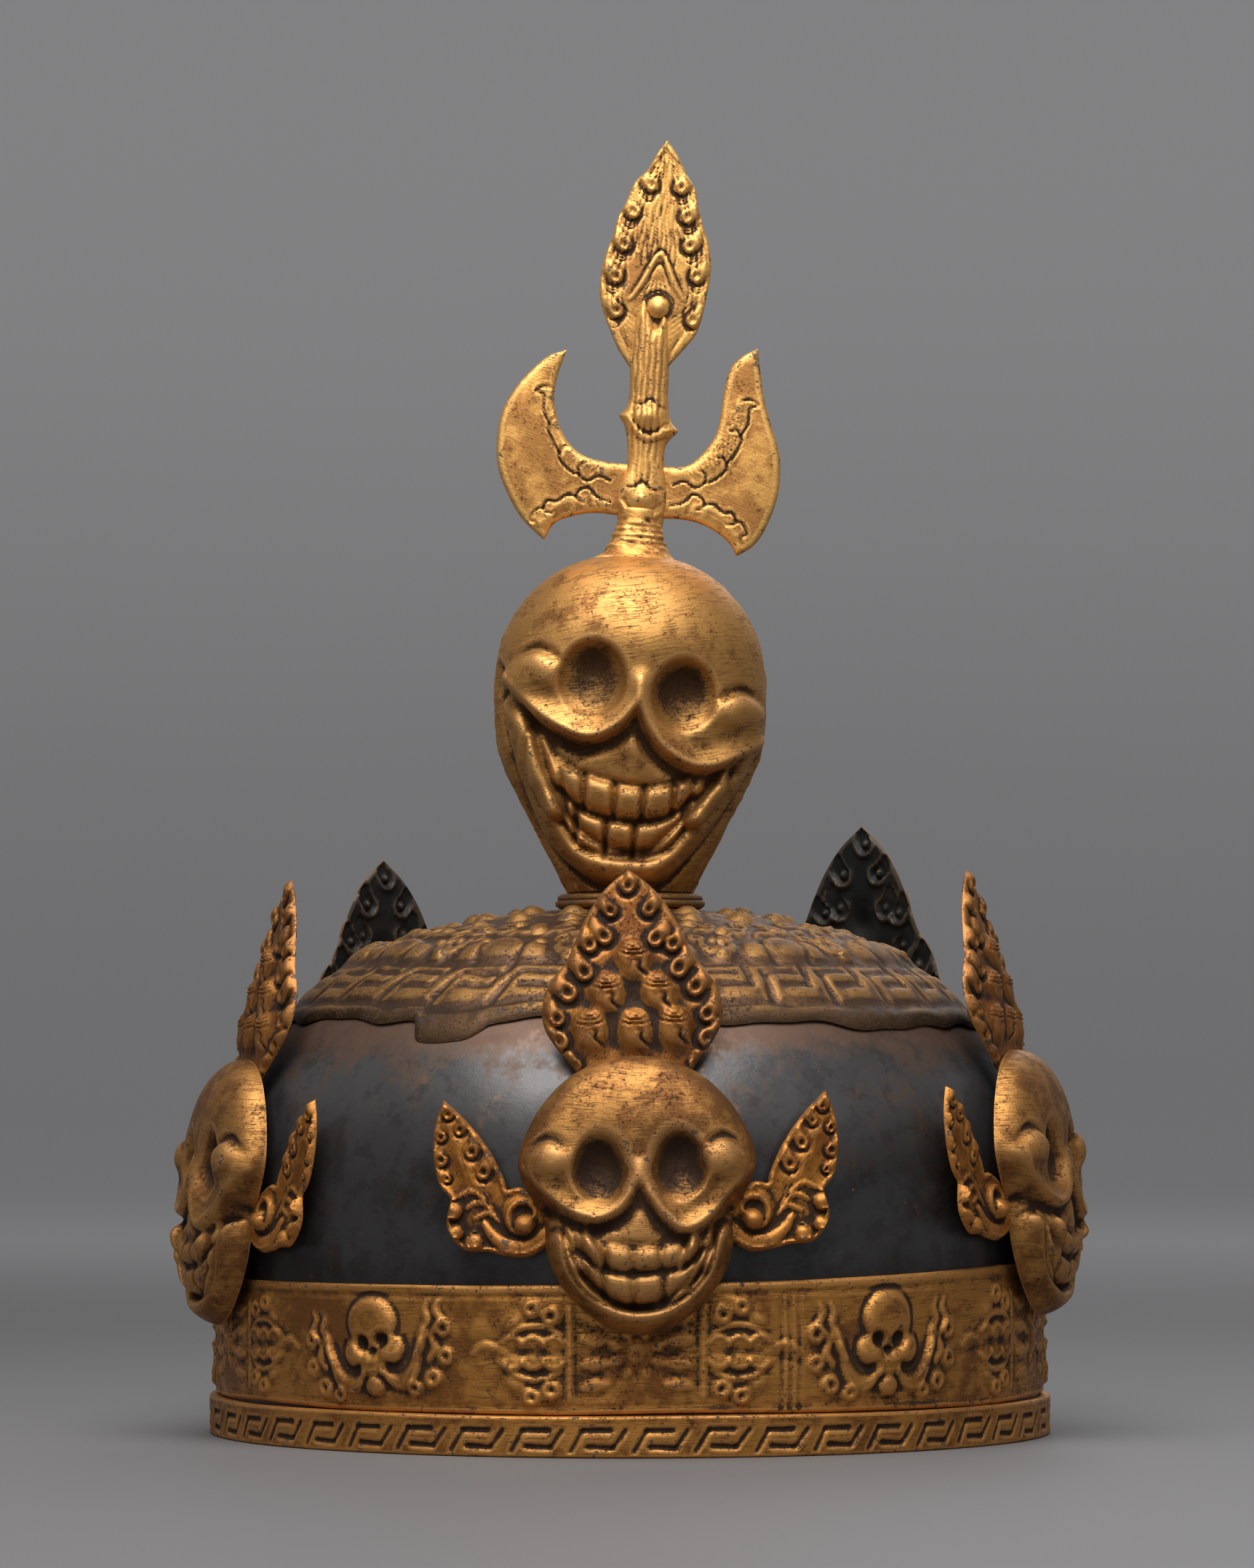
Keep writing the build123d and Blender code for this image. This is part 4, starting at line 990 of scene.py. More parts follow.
def mask_points(cells, inner_cells, seed):
    """Outer and inner points of one hammered mask and its faces, in its own frame."""
    hand = np.random.default_rng(seed)
    x, y, dome = mask_grid(cells, 0.0)
    sheet = Sheet(x, y)
    beat_face(sheet, MASK_WIDE / 2, MASK_HIGH, mask_face, 4.6, hand)
    for _ in range(26):
        a, r = hand.uniform(0, 2 * pi), hand.uniform(5, 27)
        sheet.bump(r * cos(a), 40 + r * sin(a), 4, 4, hand.uniform(-0.22, 0.22))
    fade = np.minimum(1, 1.9 * dome)
    relief = softened(sheet.out.reshape(cells + 1, cells + 1)).ravel()
    z = np.maximum(MASK_DEEP * dome + relief * fade, 0)
    ix, iy, idome = mask_grid(inner_cells, 1)
    ratio = cells // inner_cells
    behind = lowest(z.reshape(cells + 1, cells + 1), ratio)[::ratio, ::ratio].ravel()
    iz = np.where(idome > 0, np.maximum(behind - 1.1 * np.minimum(1, 3 * idome), 0), 0)
    points = np.vstack([np.column_stack([x, y, z]), np.column_stack([ix, iy, iz])])
    first = len(x)
    faces = grid_faces(cells + 1, cells + 1) + grid_faces(inner_cells + 1, inner_cells + 1, first, flip=True)
    outer_rim, inner_rim = rim_loop(cells), rim_loop(inner_cells, first)
    for i, a in enumerate(inner_rim):
        b = inner_rim[(i + 1) % len(inner_rim)]
        run = [outer_rim[(i * ratio + k) % len(outer_rim)] for k in range(ratio + 1)]
        faces.append([run[1], run[0], a])
        for k in range(1, ratio):
            ends = [a, b] if k == ratio // 2 else [a if k < ratio / 2 else b]
            faces.append([run[k + 1], run[k]] + ends)
    return points, faces


# %% Places of the five plaques
plaques = [
    ("front", 1, 0.0, 1.5, 14, 1),
    ("right", 72, 1.5, -1, 14, 1),
    ("back_right", 141, 3.5, 0.0, 1, 1.25),
    ("back_left", -138, -1.5, 0.0, 2, 1.16),
    ("left", -72, -1, 0.0, 13, 1),
]
LEAN = 6.2


def turn_matrix(axis, turn):
    """Four by four turn about X, Y or Z, in degrees."""
    c, s = cos(radians(turn)), sin(radians(turn))
    m = np.eye(4)
    i, j = {"X": (1, 2), "Y": (2, 0), "Z": (0, 1)}[axis]
    m[i, i], m[j, j], m[i, j], m[j, i] = c, c, -s, s
    return m


def shift_matrix(x, y, z):
    """Four by four shift."""
    m = np.eye(4)
    m[:3, 3] = x, y, z
    return m


def plaque_matrix(azimuth, rise, roll):
    """From a plaque's own frame, x across, y up from the chin, z out of the face, to the crown's."""
    tilt = shift_matrix(0, -106.9, 29)
    tilt[:3, 1] = 0, sin(radians(LEAN)), cos(radians(LEAN))
    tilt[:3, 2] = 0, -cos(radians(LEAN)), sin(radians(LEAN))
    middle = shift_matrix(0, 33, 0) @ turn_matrix("Z", roll) @ shift_matrix(0, -33, 0)
    return shift_matrix(0, 0, rise) @ turn_matrix("Z", azimuth) @ tilt @ middle


def placed(points, matrix):
    """Points moved from a piece's own frame into the crown's."""
    return points @ matrix[:3, :3].T + matrix[:3, 3]


places = {name: plaque_matrix(*turns) for name, *turns, lean, size in plaques}
for number, (name, place) in enumerate(places.items()):
    points, faces = mask_points(112, 28, 40 + number)
    finished_piece(f"skull_mask_{name}", placed(points, place), faces, mask_gold,
                   [f"skull_{name}"], (14, 5, 1.15, 0.18))

# %% [markdown]
# The finial's skull is made in the round from two hammered halves soldered at the sides, so its face is
# fine and its back is plain. Columns of points stand close together over the face and further apart
# behind. A rough bead runs down the seam, and lumps of solder show where the neck enters.

# %% Round skull
head_rows = np.array([
    (0.0, 0.46, 0.46), (0.07, 0.55, 0.6), (0.14, 0.64, 0.7), (0.22, 0.74, 0.78), (0.32, 0.87, 0.86),
    (0.4, 0.955, 0.9), (0.48, 0.99, 0.94), (0.56, 1, 0.98), (0.66, 0.99, 1), (0.75, 0.945, 0.97),
    (0.84, 0.83, 0.86), (0.92, 0.65, 0.68), (0.97, 0.45, 0.48), (1, 0.22, 0.24),
])
HEAD_HALF, HEAD_HIGH, FACE_DEEP, BACK_DEEP, HEAD_FOOT = 34.5, 85.8, 30, 27, 135.75


def head_point_rows(count):
    """Height, half width and depth shares at even steps along the skull's profile."""
    line = smooth_line(np.column_stack([head_rows[:, 1] * HEAD_HALF, head_rows[:, 0] * HEAD_HIGH]), 12)
    walked = np.concatenate([[0], np.cumsum(np.hypot(*np.diff(line, axis=0).T))])
    at = np.linspace(0, walked[-1], count)
    up = np.interp(at, walked, line[:, 1]) / HEAD_HIGH
    half = np.interp(at, walked, line[:, 0]) / HEAD_HALF
    deep_line = smooth_line(head_rows[:, [0, 2]], 12)
    return up, half, np.interp(up, deep_line[:, 0], deep_line[:, 1])


def head_shell(front, behind, rows, inset, detailed):
    """Points of the skull, or of the plain hollow inset mm inside it, row by row from the neck."""
    up, half, deep = head_point_rows(rows)
    turn = np.concatenate([
        np.linspace(-pi / 2, pi / 2, front, endpoint=False),
        np.linspace(pi / 2, 3 * pi / 2, behind, endpoint=False),
    ])
    t, u = np.meshgrid(turn, up)
    wide = (half * HEAD_HALF - inset)[:, None] * np.ones_like(t)
    depth = np.where(np.cos(t) > 0, FACE_DEEP, BACK_DEEP) * deep[:, None] - inset
    across, out = wide * np.sin(t), depth * np.cos(t)
    roll = radians(4.5)
    middle = 0.45 * HEAD_HIGH
    rise_by = u * HEAD_HIGH - middle
    c, s = cos(roll), sin(roll)
    sheet = Sheet(across * c - rise_by * s, middle + across * s + rise_by * c)
    if detailed:
        beat_face(sheet, HEAD_HALF, HEAD_HIGH, round_face, 6.4)
    facing = np.clip(np.cos(t) / 0.3, 0, 1)
    relief = softened(sheet.out.reshape(t.shape), 2, wrap=True) * facing**0.8
    if detailed:
        hand = np.random.default_rng(7)
        rough = np.zeros_like(t)
        seam = np.exp(-((np.abs(np.cos(t)) * 30 / 1.1) ** 2))
        beads = hand.normal(0, 0.22, (rows, 2)) * hand.uniform(0.2, 1, (rows, 2))
        beads = sum(np.roll(beads, k, axis=0) for k in range(-2, 3)) / 2.5
        rough += seam * (0.12 + np.where(t < 0, beads[:, :1], beads[:, 1:]))
        low = np.exp(-((u * HEAD_HIGH / 7) ** 2))
        for _ in range(170):
            a, z = hand.uniform(-pi, pi), hand.uniform(0, 9)
            off = np.hypot(np.angle(np.exp(1j * (t - a))) * 17, u * HEAD_HIGH - z)
            rough += hand.uniform(-0.5, 0.6) * np.exp(-((off / hand.uniform(0.8, 1.8)) ** 2)) * low
        across, out = across + rough * np.sin(t), out + rough * np.cos(t)
    forward = np.where(np.cos(t) > 0, np.cos(t) + 0.62 * (1 - np.cos(t)), 0)
    x = across + 0.38 * relief * np.sin(t)
    y = -(out + relief * forward)
    return np.column_stack([x.ravel(), y.ravel(), (u * HEAD_HIGH + HEAD_FOOT).ravel()])


def round_skull_piece():
    front, behind, rows = 200, 72, 176
    columns = front + behind
    outer = head_shell(front, behind, rows, 0.0, True)
    inner = head_shell(front // 8, behind // 8, 30, 9, False)
    inner_columns = columns // 8
    first = len(outer)
    faces = grid_faces(rows, columns, 0, wrap=True)
    faces += grid_faces(30, inner_columns, first, flip=True, wrap=True)
    for i in range(inner_columns):
        run = [(i * 8 + k) % columns for k in range(9)]
        faces.append([first + (i + 1) % inner_columns, first + i] + run)
    top = len(outer) + len(inner)
    points = np.vstack([outer, inner, outer[-columns:].mean(0), inner[-inner_columns:].mean(0)])
    faces += ring_fan((rows - 1) * columns, top, columns)
    faces += ring_fan(first + 29 * inner_columns, top + 1, inner_columns, flip=True)
    finished_piece("round_skull_gilded", points, faces, skull_gold, ["round_skull"],
                   (70, 7, 2.6, 0.24))


round_skull_piece()

# %% [markdown]
# Crests, wings and the trident are plates. Each outline is drawn, filled with even triangles, and
# beaten: the back of a thin plate follows its front, so every curl on the face is a dimple behind. The
# edges are rounded over, because sawn edges of old copper are never sharp.

# %% Plates
PLATE_ROUND = 0.45


def even_outline(runs, spacing):
    """Points at even steps round a closed outline drawn as smooth runs."""
    line = np.vstack([smooth_line(run, 14)[:-1] for run in runs])
    closed = np.vstack([line, line[:1]])
    walked = np.concatenate([[0], np.cumsum(np.hypot(*np.diff(closed, axis=0).T))])
    count = max(12, int(round(walked[-1] / spacing)))
    at = np.linspace(0, walked[-1], count, endpoint=False)
    return np.column_stack([np.interp(at, walked, closed[:, 0]), np.interp(at, walked, closed[:, 1])])


def inside_outline(x, y, outline):
    """True for the points inside a closed outline."""
    hit = np.zeros(len(x), bool)
    for (x0, y0), (x1, y1) in zip(outline, np.roll(outline, -1, axis=0)):
        crosses = (y0 > y) != (y1 > y)
        hit ^= crosses & (x < (x1 - x0) * (y - y0) / ((y1 - y0) or 1e-12) + x0)
    return hit


def rim_distance(points, closed):
    """Distance of each point from a closed outline."""
    at, off, _, _ = Sheet(*points.T).off_line(closed, 500)
    distance = np.zeros(len(points))
    distance[at] = off
    return distance


class Plate:
    """A flat plate filled with even triangles: its points, faces, rim and distance from the rim."""

    def __init__(self, runs, spacing):
        outline = even_outline(runs, spacing)
        x, y = outline.T
        if np.sum(x * np.roll(y, -1) - y * np.roll(x, -1)) < 0:
            outline = outline[::-1]
        low, high = outline.min(0), outline.max(0)
        rows = np.arange(low[1], high[1], spacing * 0.87)
        grid = []
        for number, y in enumerate(rows):
            xs = np.arange(low[0] + (number % 2) * spacing / 2, high[0], spacing)
            grid.append(np.column_stack([xs, np.full(len(xs), y)]))
        grid = np.vstack(grid)
        grid = grid[inside_outline(*grid.T, outline)]
        closed = np.vstack([outline, outline[:1]])
        grid = grid[rim_distance(grid, closed) > 0.6 * spacing]
        places = np.vstack([outline, grid])
        n = len(outline)
        edges = [(i, (i + 1) % n) for i in range(n)]
        verts, _, faces, origin, _, _ = delaunay_2d_cdt([tuple(p) for p in places], edges, [], 1, 1e-7)
        self.points = np.array([tuple(v) for v in verts])
        self.faces = np.array([f for f in faces if len(f) == 3])
        known = {o: i for i, olds in enumerate(origin) for o in olds}
        self.rim = np.array([known[i] for i in range(n)])
        self.sheet_off = rim_distance(self.points, closed)

    def closed(self, front, back):
        """Points and faces of the plate between two heights per point, walled round the rim."""
        n = len(self.points)
        points = np.vstack([np.column_stack([self.points, front]), np.column_stack([self.points, back])])
        after = np.roll(self.rim, -1)
        walls = np.column_stack([after, self.rim, self.rim + n, after + n])
        return points, self.faces.tolist() + (self.faces[:, ::-1] + n).tolist() + walls.tolist()


def scaled_runs(runs, wide, high, down=0.0):
    """An outline drawn in shares, in mm, with its foot set lower by down."""
    return [[(x * wide, y * high - down) for x, y in run] for run in runs]


# %% Crests
crest_half = [
    (0.56, 0.0), (0.69, 0.08), (0.85, 0.17), (0.97, 0.26), (1, 0.35), (0.94, 0.45), (0.83, 0.52),
    (0.71, 0.58), (0.57, 0.71), (0.43, 0.82), (0.24, 0.92), (0.0, 1),
]
crest_runs = [crest_half, [(-x, y) for x, y in reversed(crest_half)], [(-0.56, 0.0), (0.56, 0.0)]]
CREST_HALF, CREST_HIGH, CREST_FOOT = 21.5, 52, 6
crest_plate = Plate(scaled_runs(crest_runs, CREST_HALF, CREST_HIGH, CREST_FOOT), 0.52)
print("crest plate", len(crest_plate.points), "points", len(crest_plate.faces), "faces")


crest_flames = [
    (0.22, 0.8, 1.65), (0.27, 0.665, 1.85), (0.46, 0.64, 1.65), (0.52, 0.515, 1.95), (0.7, 0.425, 2.05),
    (0.83, 0.31, 1.75), (0.81, 0.185, 1.95), (0.66, 0.075, 1.45),
]


def crest_relief(points, seed):
    """Flame curls up both edges, a curl at the tip, and the pile of six jewels."""
    hand = np.random.default_rng(seed)
    sheet = Sheet(*points.T)

    def place(x, y):
        return x * CREST_HALF + hand.normal(0, 0.25), y * CREST_HIGH - CREST_FOOT + hand.normal(0, 0.25)

    sheet.bump(0, 14, 15, 20, 1.2, edge=2.6)
    back = Sheet(*points.T)
    for side in (-1, 1):
        for across, up, radius in crest_flames:
            x, y = place(side * across, up)
            radius *= hand.uniform(0.92, 1.1)
            heading = radians(90 - side * hand.uniform(12, 32))
            sheet.flame(x, y, radius * 1.08, heading, 1.4, 1.1, 0.8)
            back.bump(x, y, radius * 0.9, radius * 0.9, 0.75)
            back.bump(x, y, radius * 0.42, radius * 0.42, -0.85)
    x, y = place(-0.02, 0.915)
    sheet.flame(x, y, 1.75, radians(82))
    jewels = [(0.02, 0.615), (-0.27, 0.455), (0.3, 0.45), (-0.47, 0.29), (0.02, 0.28), (0.46, 0.285)]
    for across, up in jewels:
        x, y = place(across, up)
        sheet.bump(x, y - 2.4, 4.1, 4.9, 2.1, edge=3.4)
        sheet.bump(x, y + 0.4, 2.9, 2.1, 0.8, edge=2.4)
        back.bump(x, y - 1.2, 3, 3.2, 1.5)
        for wide, drop in ((1.5, -0.55), (2.4, 0.45), (3.1, 1.4)):
            arc = [(x - wide, y - drop + 0.75), (x - 0.5 * wide, y - drop + 0.05), (x, y - drop - 0.12),
                   (x + 0.5 * wide, y - drop + 0.05), (x + wide, y - drop + 0.75)]
            sheet.cut(arc, 0.27, 0.42, lip=0.12)
        side = 1 if hand.random() < 0.75 else -1
        jag = moved([(0.4, -2.6), (1.5, -3.2), (1.2, -4.6), (2.2, -5.6), (3.2, -6.4)], x, y, side)
        sheet.cut(jag, 0.42, 1, fade=True)
    sheet.dents(hand, 90, (-20, 20), (-5, 44), (0.8, 2), (0.8, 2), 0.12)
    return sheet.out, back.out


def crest_piece(name, seed, lean, size, matrix):
    rise, hollow = crest_relief(crest_plate.points, seed)
    hand = np.random.default_rng(seed + 50)
    x, y = crest_plate.points.T
    bow = -0.004 * x**2 + 0.0011 * hand.uniform(0.3, 1.2) * (y - 20) ** 2
    edge = rounding(crest_plate.sheet_off, PLATE_ROUND)
    fade = np.clip(crest_plate.sheet_off / 1.3, 0, 1) ** 0.7
    front = rise * fade + bow - edge
    back = np.minimum(hollow * fade + 0.8, rise * fade) + bow - 1.1 + edge
    points, faces = crest_plate.closed(front, back)
    points = points * size
    turn = LEAN - lean
    set_back = 0.3 + max(0.0, tan(radians(-turn))) * CREST_FOOT
    placed_at = matrix @ shift_matrix(0, 66, -set_back) @ turn_matrix("X", turn)
    count = len(crest_plate.faces)
    spots = np.zeros(len(faces), np.int32)
    spots[count : 2 * count] = 1
    finished_piece(f"crest_chased_{name}", placed(points, placed_at), faces, [plate_gold, back_patina],
                   [f"crest_{name}"], (16, 4, 0.45, 0.12), spots)


for number, (name, *_, lean, size) in enumerate(plaques):
    crest_piece(name, 80 + number, lean, size, places[name])

# %% Wings
wing_runs = [
    [(-0.05, 0.1), (0.2, 0.0), (0.4, 0.01), (0.56, 0.04), (0.76, 0.06), (0.9, 0.2), (0.86, 0.38)],
    [(0.86, 0.38), (0.96, 0.48), (1, 0.66), (0.98, 0.84), (0.9, 1)],
    [(0.9, 1), (0.7, 0.85), (0.53, 0.68), (0.41, 0.5), (0.38, 0.42)],
    [(0.38, 0.42), (0.26, 0.43), (0.12, 0.36), (-0.05, 0.24)],
    [(-0.05, 0.24), (-0.05, 0.1)],
]
WING_REACH, WING_HIGH = 28.5, 38
wing_plate = Plate(scaled_runs(wing_runs, WING_REACH, WING_HIGH), 0.55)
print("wing plate", len(wing_plate.points), "points", len(wing_plate.faces), "faces")


def wing_relief(points, seed):
    """A plume with hooked curls down both edges, over a scroll with knobs and a tongue-like root."""
    hand = np.random.default_rng(seed)
    sheet = Sheet(*points.T)

    def at(x, y):
        return x * WING_REACH, y * WING_HIGH

    def line(*shares):
        return [at(x, y) for x, y in shares]

    sheet.roll(line((0.62, 0.46), (0.74, 0.66), (0.87, 0.94)), 3.8, 0.8, ends=(0.6, 0.3), soft=True)
    for shift in (-0.07, -0.03, 0.01, 0.05):
        hair = line((0.36 + shift, 0.13), (0.52 + shift, 0.26), (0.63 + shift, 0.46),
                    (0.74 + shift * 0.6, 0.7))
        sheet.cut(hair, 0.24, 0.26, fade=True)
    for x, y, radius, side in (
        (0.865, 0.895, 1.25, 0.2), (0.93, 0.765, 1.2, 1), (0.765, 0.8, 1.2, -1), (0.925, 0.62, 1.45, 1),
        (0.665, 0.665, 1.5, -1), (0.575, 0.53, 1.6, -1), (0.89, 0.505, 1, 1),
    ):
        px, py = at(x, y)
        sheet.flame(px + hand.normal(0, 0.15), py + hand.normal(0, 0.15), radius,
                    radians(80 - side * 18), 0.85, 0.8, 0.6)
    disc, knob = at(0.235, 0.25), at(0.225, 0.2)
    sheet.bump(*disc, 5, 5, 1.3, edge=6)
    sheet.curl(*disc, 4.7, radians(-100), 0.8, 1, 0.75, 0.8, 0, 0)
    sheet.bump(disc[0], disc[1] + 1.2, 2.9, 2.4, -1.4)
    sheet.bump(*knob, 2.6, 2.6, 2.5, round_top=True)
    for x, y, size in ((0.66, 0.1, 2.1), (0.815, 0.165, 1.9), (0.83, 0.3, 2.2)):
        px, py = at(x, y)
        sheet.bump(px, py, size, size, 2.1, round_top=True)
        sheet.curl(px, py, size * 1.25, radians(100), 0.6, -1, 0.42, 0.6, 0, 0)
    sheet.roll(line((0.02, 0.15), (0.18, 0.065), (0.36, 0.065), (0.5, 0.13), (0.58, 0.22)), 1.9, 1.2,
               ends=(0.9, 0.3))
    for shift in (0.0, 0.07, 0.14):
        flow = line((0.8 - shift, 0.385 - shift), (0.68 - shift, 0.42 - shift),
                    (0.56 - shift * 0.8, 0.36 - shift))
        sheet.roll(flow, 0.75, 0.6, ends=(0.5, 0.3))
    sheet.dents(hand, 40, (0, 28), (0, 38), (0.8, 2), (0.8, 2), 0.1)
    return sheet.out


def wing_piece(name, side, seed, matrix):
    rise = wing_relief(wing_plate.points, seed)
    edge = rounding(wing_plate.sheet_off, PLATE_ROUND)
    lip = 0.55 * np.exp(-(((wing_plate.sheet_off - 0.75) / 0.45) ** 2))
    fade = np.clip(wing_plate.sheet_off / 0.9, 0, 1) ** 0.6
    rise = rise * fade + lip
    points, faces = wing_plate.closed(rise - edge, rise * 0.8 - 1 + edge)
    if side < 0:
        points[:, 0] *= -1
        faces = [f[::-1] for f in faces]
    placed_at = matrix @ shift_matrix(side * 20.3, 19.3, -0.3) @ turn_matrix("Y", side * 12)
    node = f"wing_{'left' if side < 0 else 'right'}_{name}"
    finished_piece(f"{node}_chased", placed(points, placed_at), faces, wing_gold, [node],
                   (12, 4, 0.4, 0.12))


for number, (name, place) in enumerate(places.items()):
    for side in (-1, 1):
        wing_piece(name, side, 120 + 2 * number + side, place)

# %% [markdown]
# The trident was cut from thick plate: a flame-shaped blade and two hooked arms, soldered to a stem with
# thorns. Each is a plate with a lens-like section, chased on both faces. The neck was wound and
# soldered in rings, so it is turned by the same nodes as the bowl and leaned with the rest.

# %% Trident
LEAN_OVER = radians(3.9)
trident_place = np.eye(4)
trident_place[:3, 0] = cos(LEAN_OVER), 0, -sin(LEAN_OVER)
trident_place[:3, 1] = sin(LEAN_OVER), 0, cos(LEAN_OVER)
trident_place[:3, 2] = 0, -1, 0
trident_place[:3, 3] = 1.6, 0, 221.7

blade_right = [
    (4.6, 48.4), (8.4, 53.3), (11.2, 57.3), (12.6, 62), (13.5, 68.2), (14, 74.3), (13.1, 80.4),
    (11.7, 83.9), (9.9, 89.4), (8.5, 94.7), (6.1, 98.3), (3.5, 103), (0.6, 106.5),
]
blade_left = [
    (0.6, 106.5), (-1.4, 103.6), (-3.9, 98.6), (-6.8, 95.4), (-8.7, 90.4), (-10.6, 85.9), (-11.5, 81.4),
    (-13.1, 76.3), (-13.9, 71.7), (-13.9, 66.3), (-12.8, 62), (-10.6, 57), (-8.1, 52.1), (-4.4, 47.2),
]
blade_plate = Plate([blade_right, blade_left, [(-4.4, 47.2), (4.6, 48.4)]], 0.46)
arm_left_runs = [
    [(-1.5, 23.2), (-9.5, 23.3), (-15.7, 24.8), (-19.8, 28.3), (-22.4, 33.5), (-23.6, 38.8), (-23.2, 44.2),
     (-21.3, 51.2)],
    [(-21.3, 51.2), (-25.8, 49.4), (-30.8, 44.5), (-34.3, 39.6), (-36.7, 34.1), (-37.5, 27.9), (-36.9, 21),
     (-34.2, 14.3), (-29.9, 7.7), (-23.8, 2.4)],
    [(-23.8, 2.4), (-21.4, 6.8), (-16.9, 9), (-10.9, 10.2), (-1.5, 9.6)],
    [(-1.5, 9.6), (-1.5, 23.2)],
]
arm_right_runs = [
    [(1.5, 23.2), (10.5, 23.5), (14.8, 26.9), (17.9, 31.7), (18.9, 37.1), (19.3, 42.5), (20.4, 48.7),
     (23.1, 52.3), (27.3, 54.9)],
    [(27.3, 54.9), (28.2, 49.6), (29.7, 42.4), (31.9, 35.7), (34.2, 29.7), (35.1, 23.6), (34.7, 16.7),
     (32.2, 8.9), (29.4, 4.4), (25.4, 1.6)],
    [(25.4, 1.6), (23.6, 4.5), (20, 7.3), (15.3, 9.3), (9.8, 10), (1.5, 9.6)],
    [(1.5, 9.6), (1.5, 23.2)],
]
stem_runs = [
    [(7, 1.5), (6, 5), (6.3, 9.4), (7, 14.5), (6.5, 19), (5.6, 23.5), (5.6, 28.5), (8.6, 32.4)],
    [(8.6, 32.4), (6.3, 35), (5.4, 40), (5.2, 44.6), (4.9, 51), (4.6, 56), (4.2, 60.5), (2.4, 62),
     (1, 58.6)],
    [(1, 58.6), (-0.6, 62.6), (-2.6, 66), (-4.6, 61), (-4.7, 55), (-4.9, 47.7), (-4.6, 41),
     (-5.3, 37.4), (-6.9, 35.4)],
    [(-6.9, 35.4), (-5.1, 32.4), (-4.3, 28), (-4.1, 22.9), (-5.6, 19), (-6.4, 14.5), (-5.6, 9.8),
     (-5, 5), (-6.6, 1.5)],
    [(-6.6, 1.5), (7, 1.5)],
]


def blade_relief(points, seed):
    """Flowing hair to the tip, curls with eyelets down both edges, a pointed petal and a boss."""
    hand = np.random.default_rng(seed)
    sheet = Sheet(*points.T)
    edge_r = smooth_line(blade_right)
    edge_l = smooth_line(blade_left[::-1])

    def wide(side, y):
        line = edge_r if side > 0 else edge_l
        return abs(np.interp(y, line[:, 1], line[:, 0]))

    for side in (-1, 1):
        for share in (0.04, 0.13, 0.22, 0.31, 0.4, 0.5, 0.6, 0.7, 0.8, 0.9):
            phase = hand.uniform(0, 6)
            low = 62 if share > 0.5 else 74 + 4 * hand.random()
            heights = np.linspace(low, 105 - 5 * share, 26)
            hair = [side * share * wide(side, y) + 0.3 * sin(y * 0.6 + phase) + 0.3 for y in heights]
            sheet.cut(list(zip(hair, heights)), 0.26, 0.3, smooth=False)
        for y in np.arange(51.5, 63, 1.5):
            middle, tip = 4.6 + 0.45 * (wide(side, y) - 4.6), wide(side, y + 3) - 1.2
            hair = [(side * 4.6, y - 1.5), (side * middle, y + 1.6), (side * tip, y + 5.4)]
            sheet.cut(hair, 0.26, 0.32, fade=True)
    eyelets = [
        (-2.4, 94.7), (4.8, 94.5), (-6.6, 87.5), (6.9, 87), (-8.3, 79), (8, 79.6), (-9.9, 70.6),
        (10.3, 72), (-9.2, 61.9), (10.1, 60.7),
    ]
    for x, y in eyelets:
        side = 1 if x > 0.5 else -1
        sheet.flame(x, y, 1.75, radians(90 - side * 28), 0.85, 0.35, 0.5)
        for reach in (0.0, 1, 2):
            flame = [(x - side * (2.2 + 0.15 * reach), y + 1.5 - reach),
                     (x + side * 0.2, y - 2.4 - reach * 0.9),
                     (x + side * (2.6 + 0.2 * reach), y - 0.9 - reach * 0.7),
                     (x + side * (3.3 + 0.2 * reach), y + 2.6 - reach)]
            sheet.cut(flame, 0.28, 0.5, fade=True)
    petal = [(-6.2, 65), (-3.6, 69), (0.9, 77.2), (4.8, 70), (7.4, 65.8)]
    sheet.bump(0.8, 68.5, 4.8, 6.8, 0.45, edge=3)
    sheet.roll(petal, 0.85, 0.55, ends=(0.5, 0.5))
    sheet.cut([(-6.9, 65.6), (-4.3, 70), (0.9, 78.4), (5.6, 70.9), (8.1, 66.4)], 0.3, 0.4, fade=True)
    sheet.cut([(-4.4, 65.6), (-2.6, 68.6), (0.9, 74.8), (3.8, 69.4), (5.8, 66.2)], 0.28, 0.3, fade=True)
    for x in (-2.2, -1, 0.2, 1.5, 2.7):
        sheet.cut([(x * 1.25, 66.3), (x * 0.9 + 0.2, 68.6), (x * 0.6 + 0.4, 71.2)], 0.24, 0.35, fade=True)
    sheet.bump(1.2, 63.4, 2.9, 2.9, 1.5, round_top=True)
    sheet.bump(1.2, 63.2, 1.5, 1.5, 0.5, round_top=True)
    for radius in (3.5, 4.3):
        sheet.cut(arch(1.2, 63.3, radius, radius, 10, 170, 9), 0.26, 0.45, fade=True)
    return sheet.out


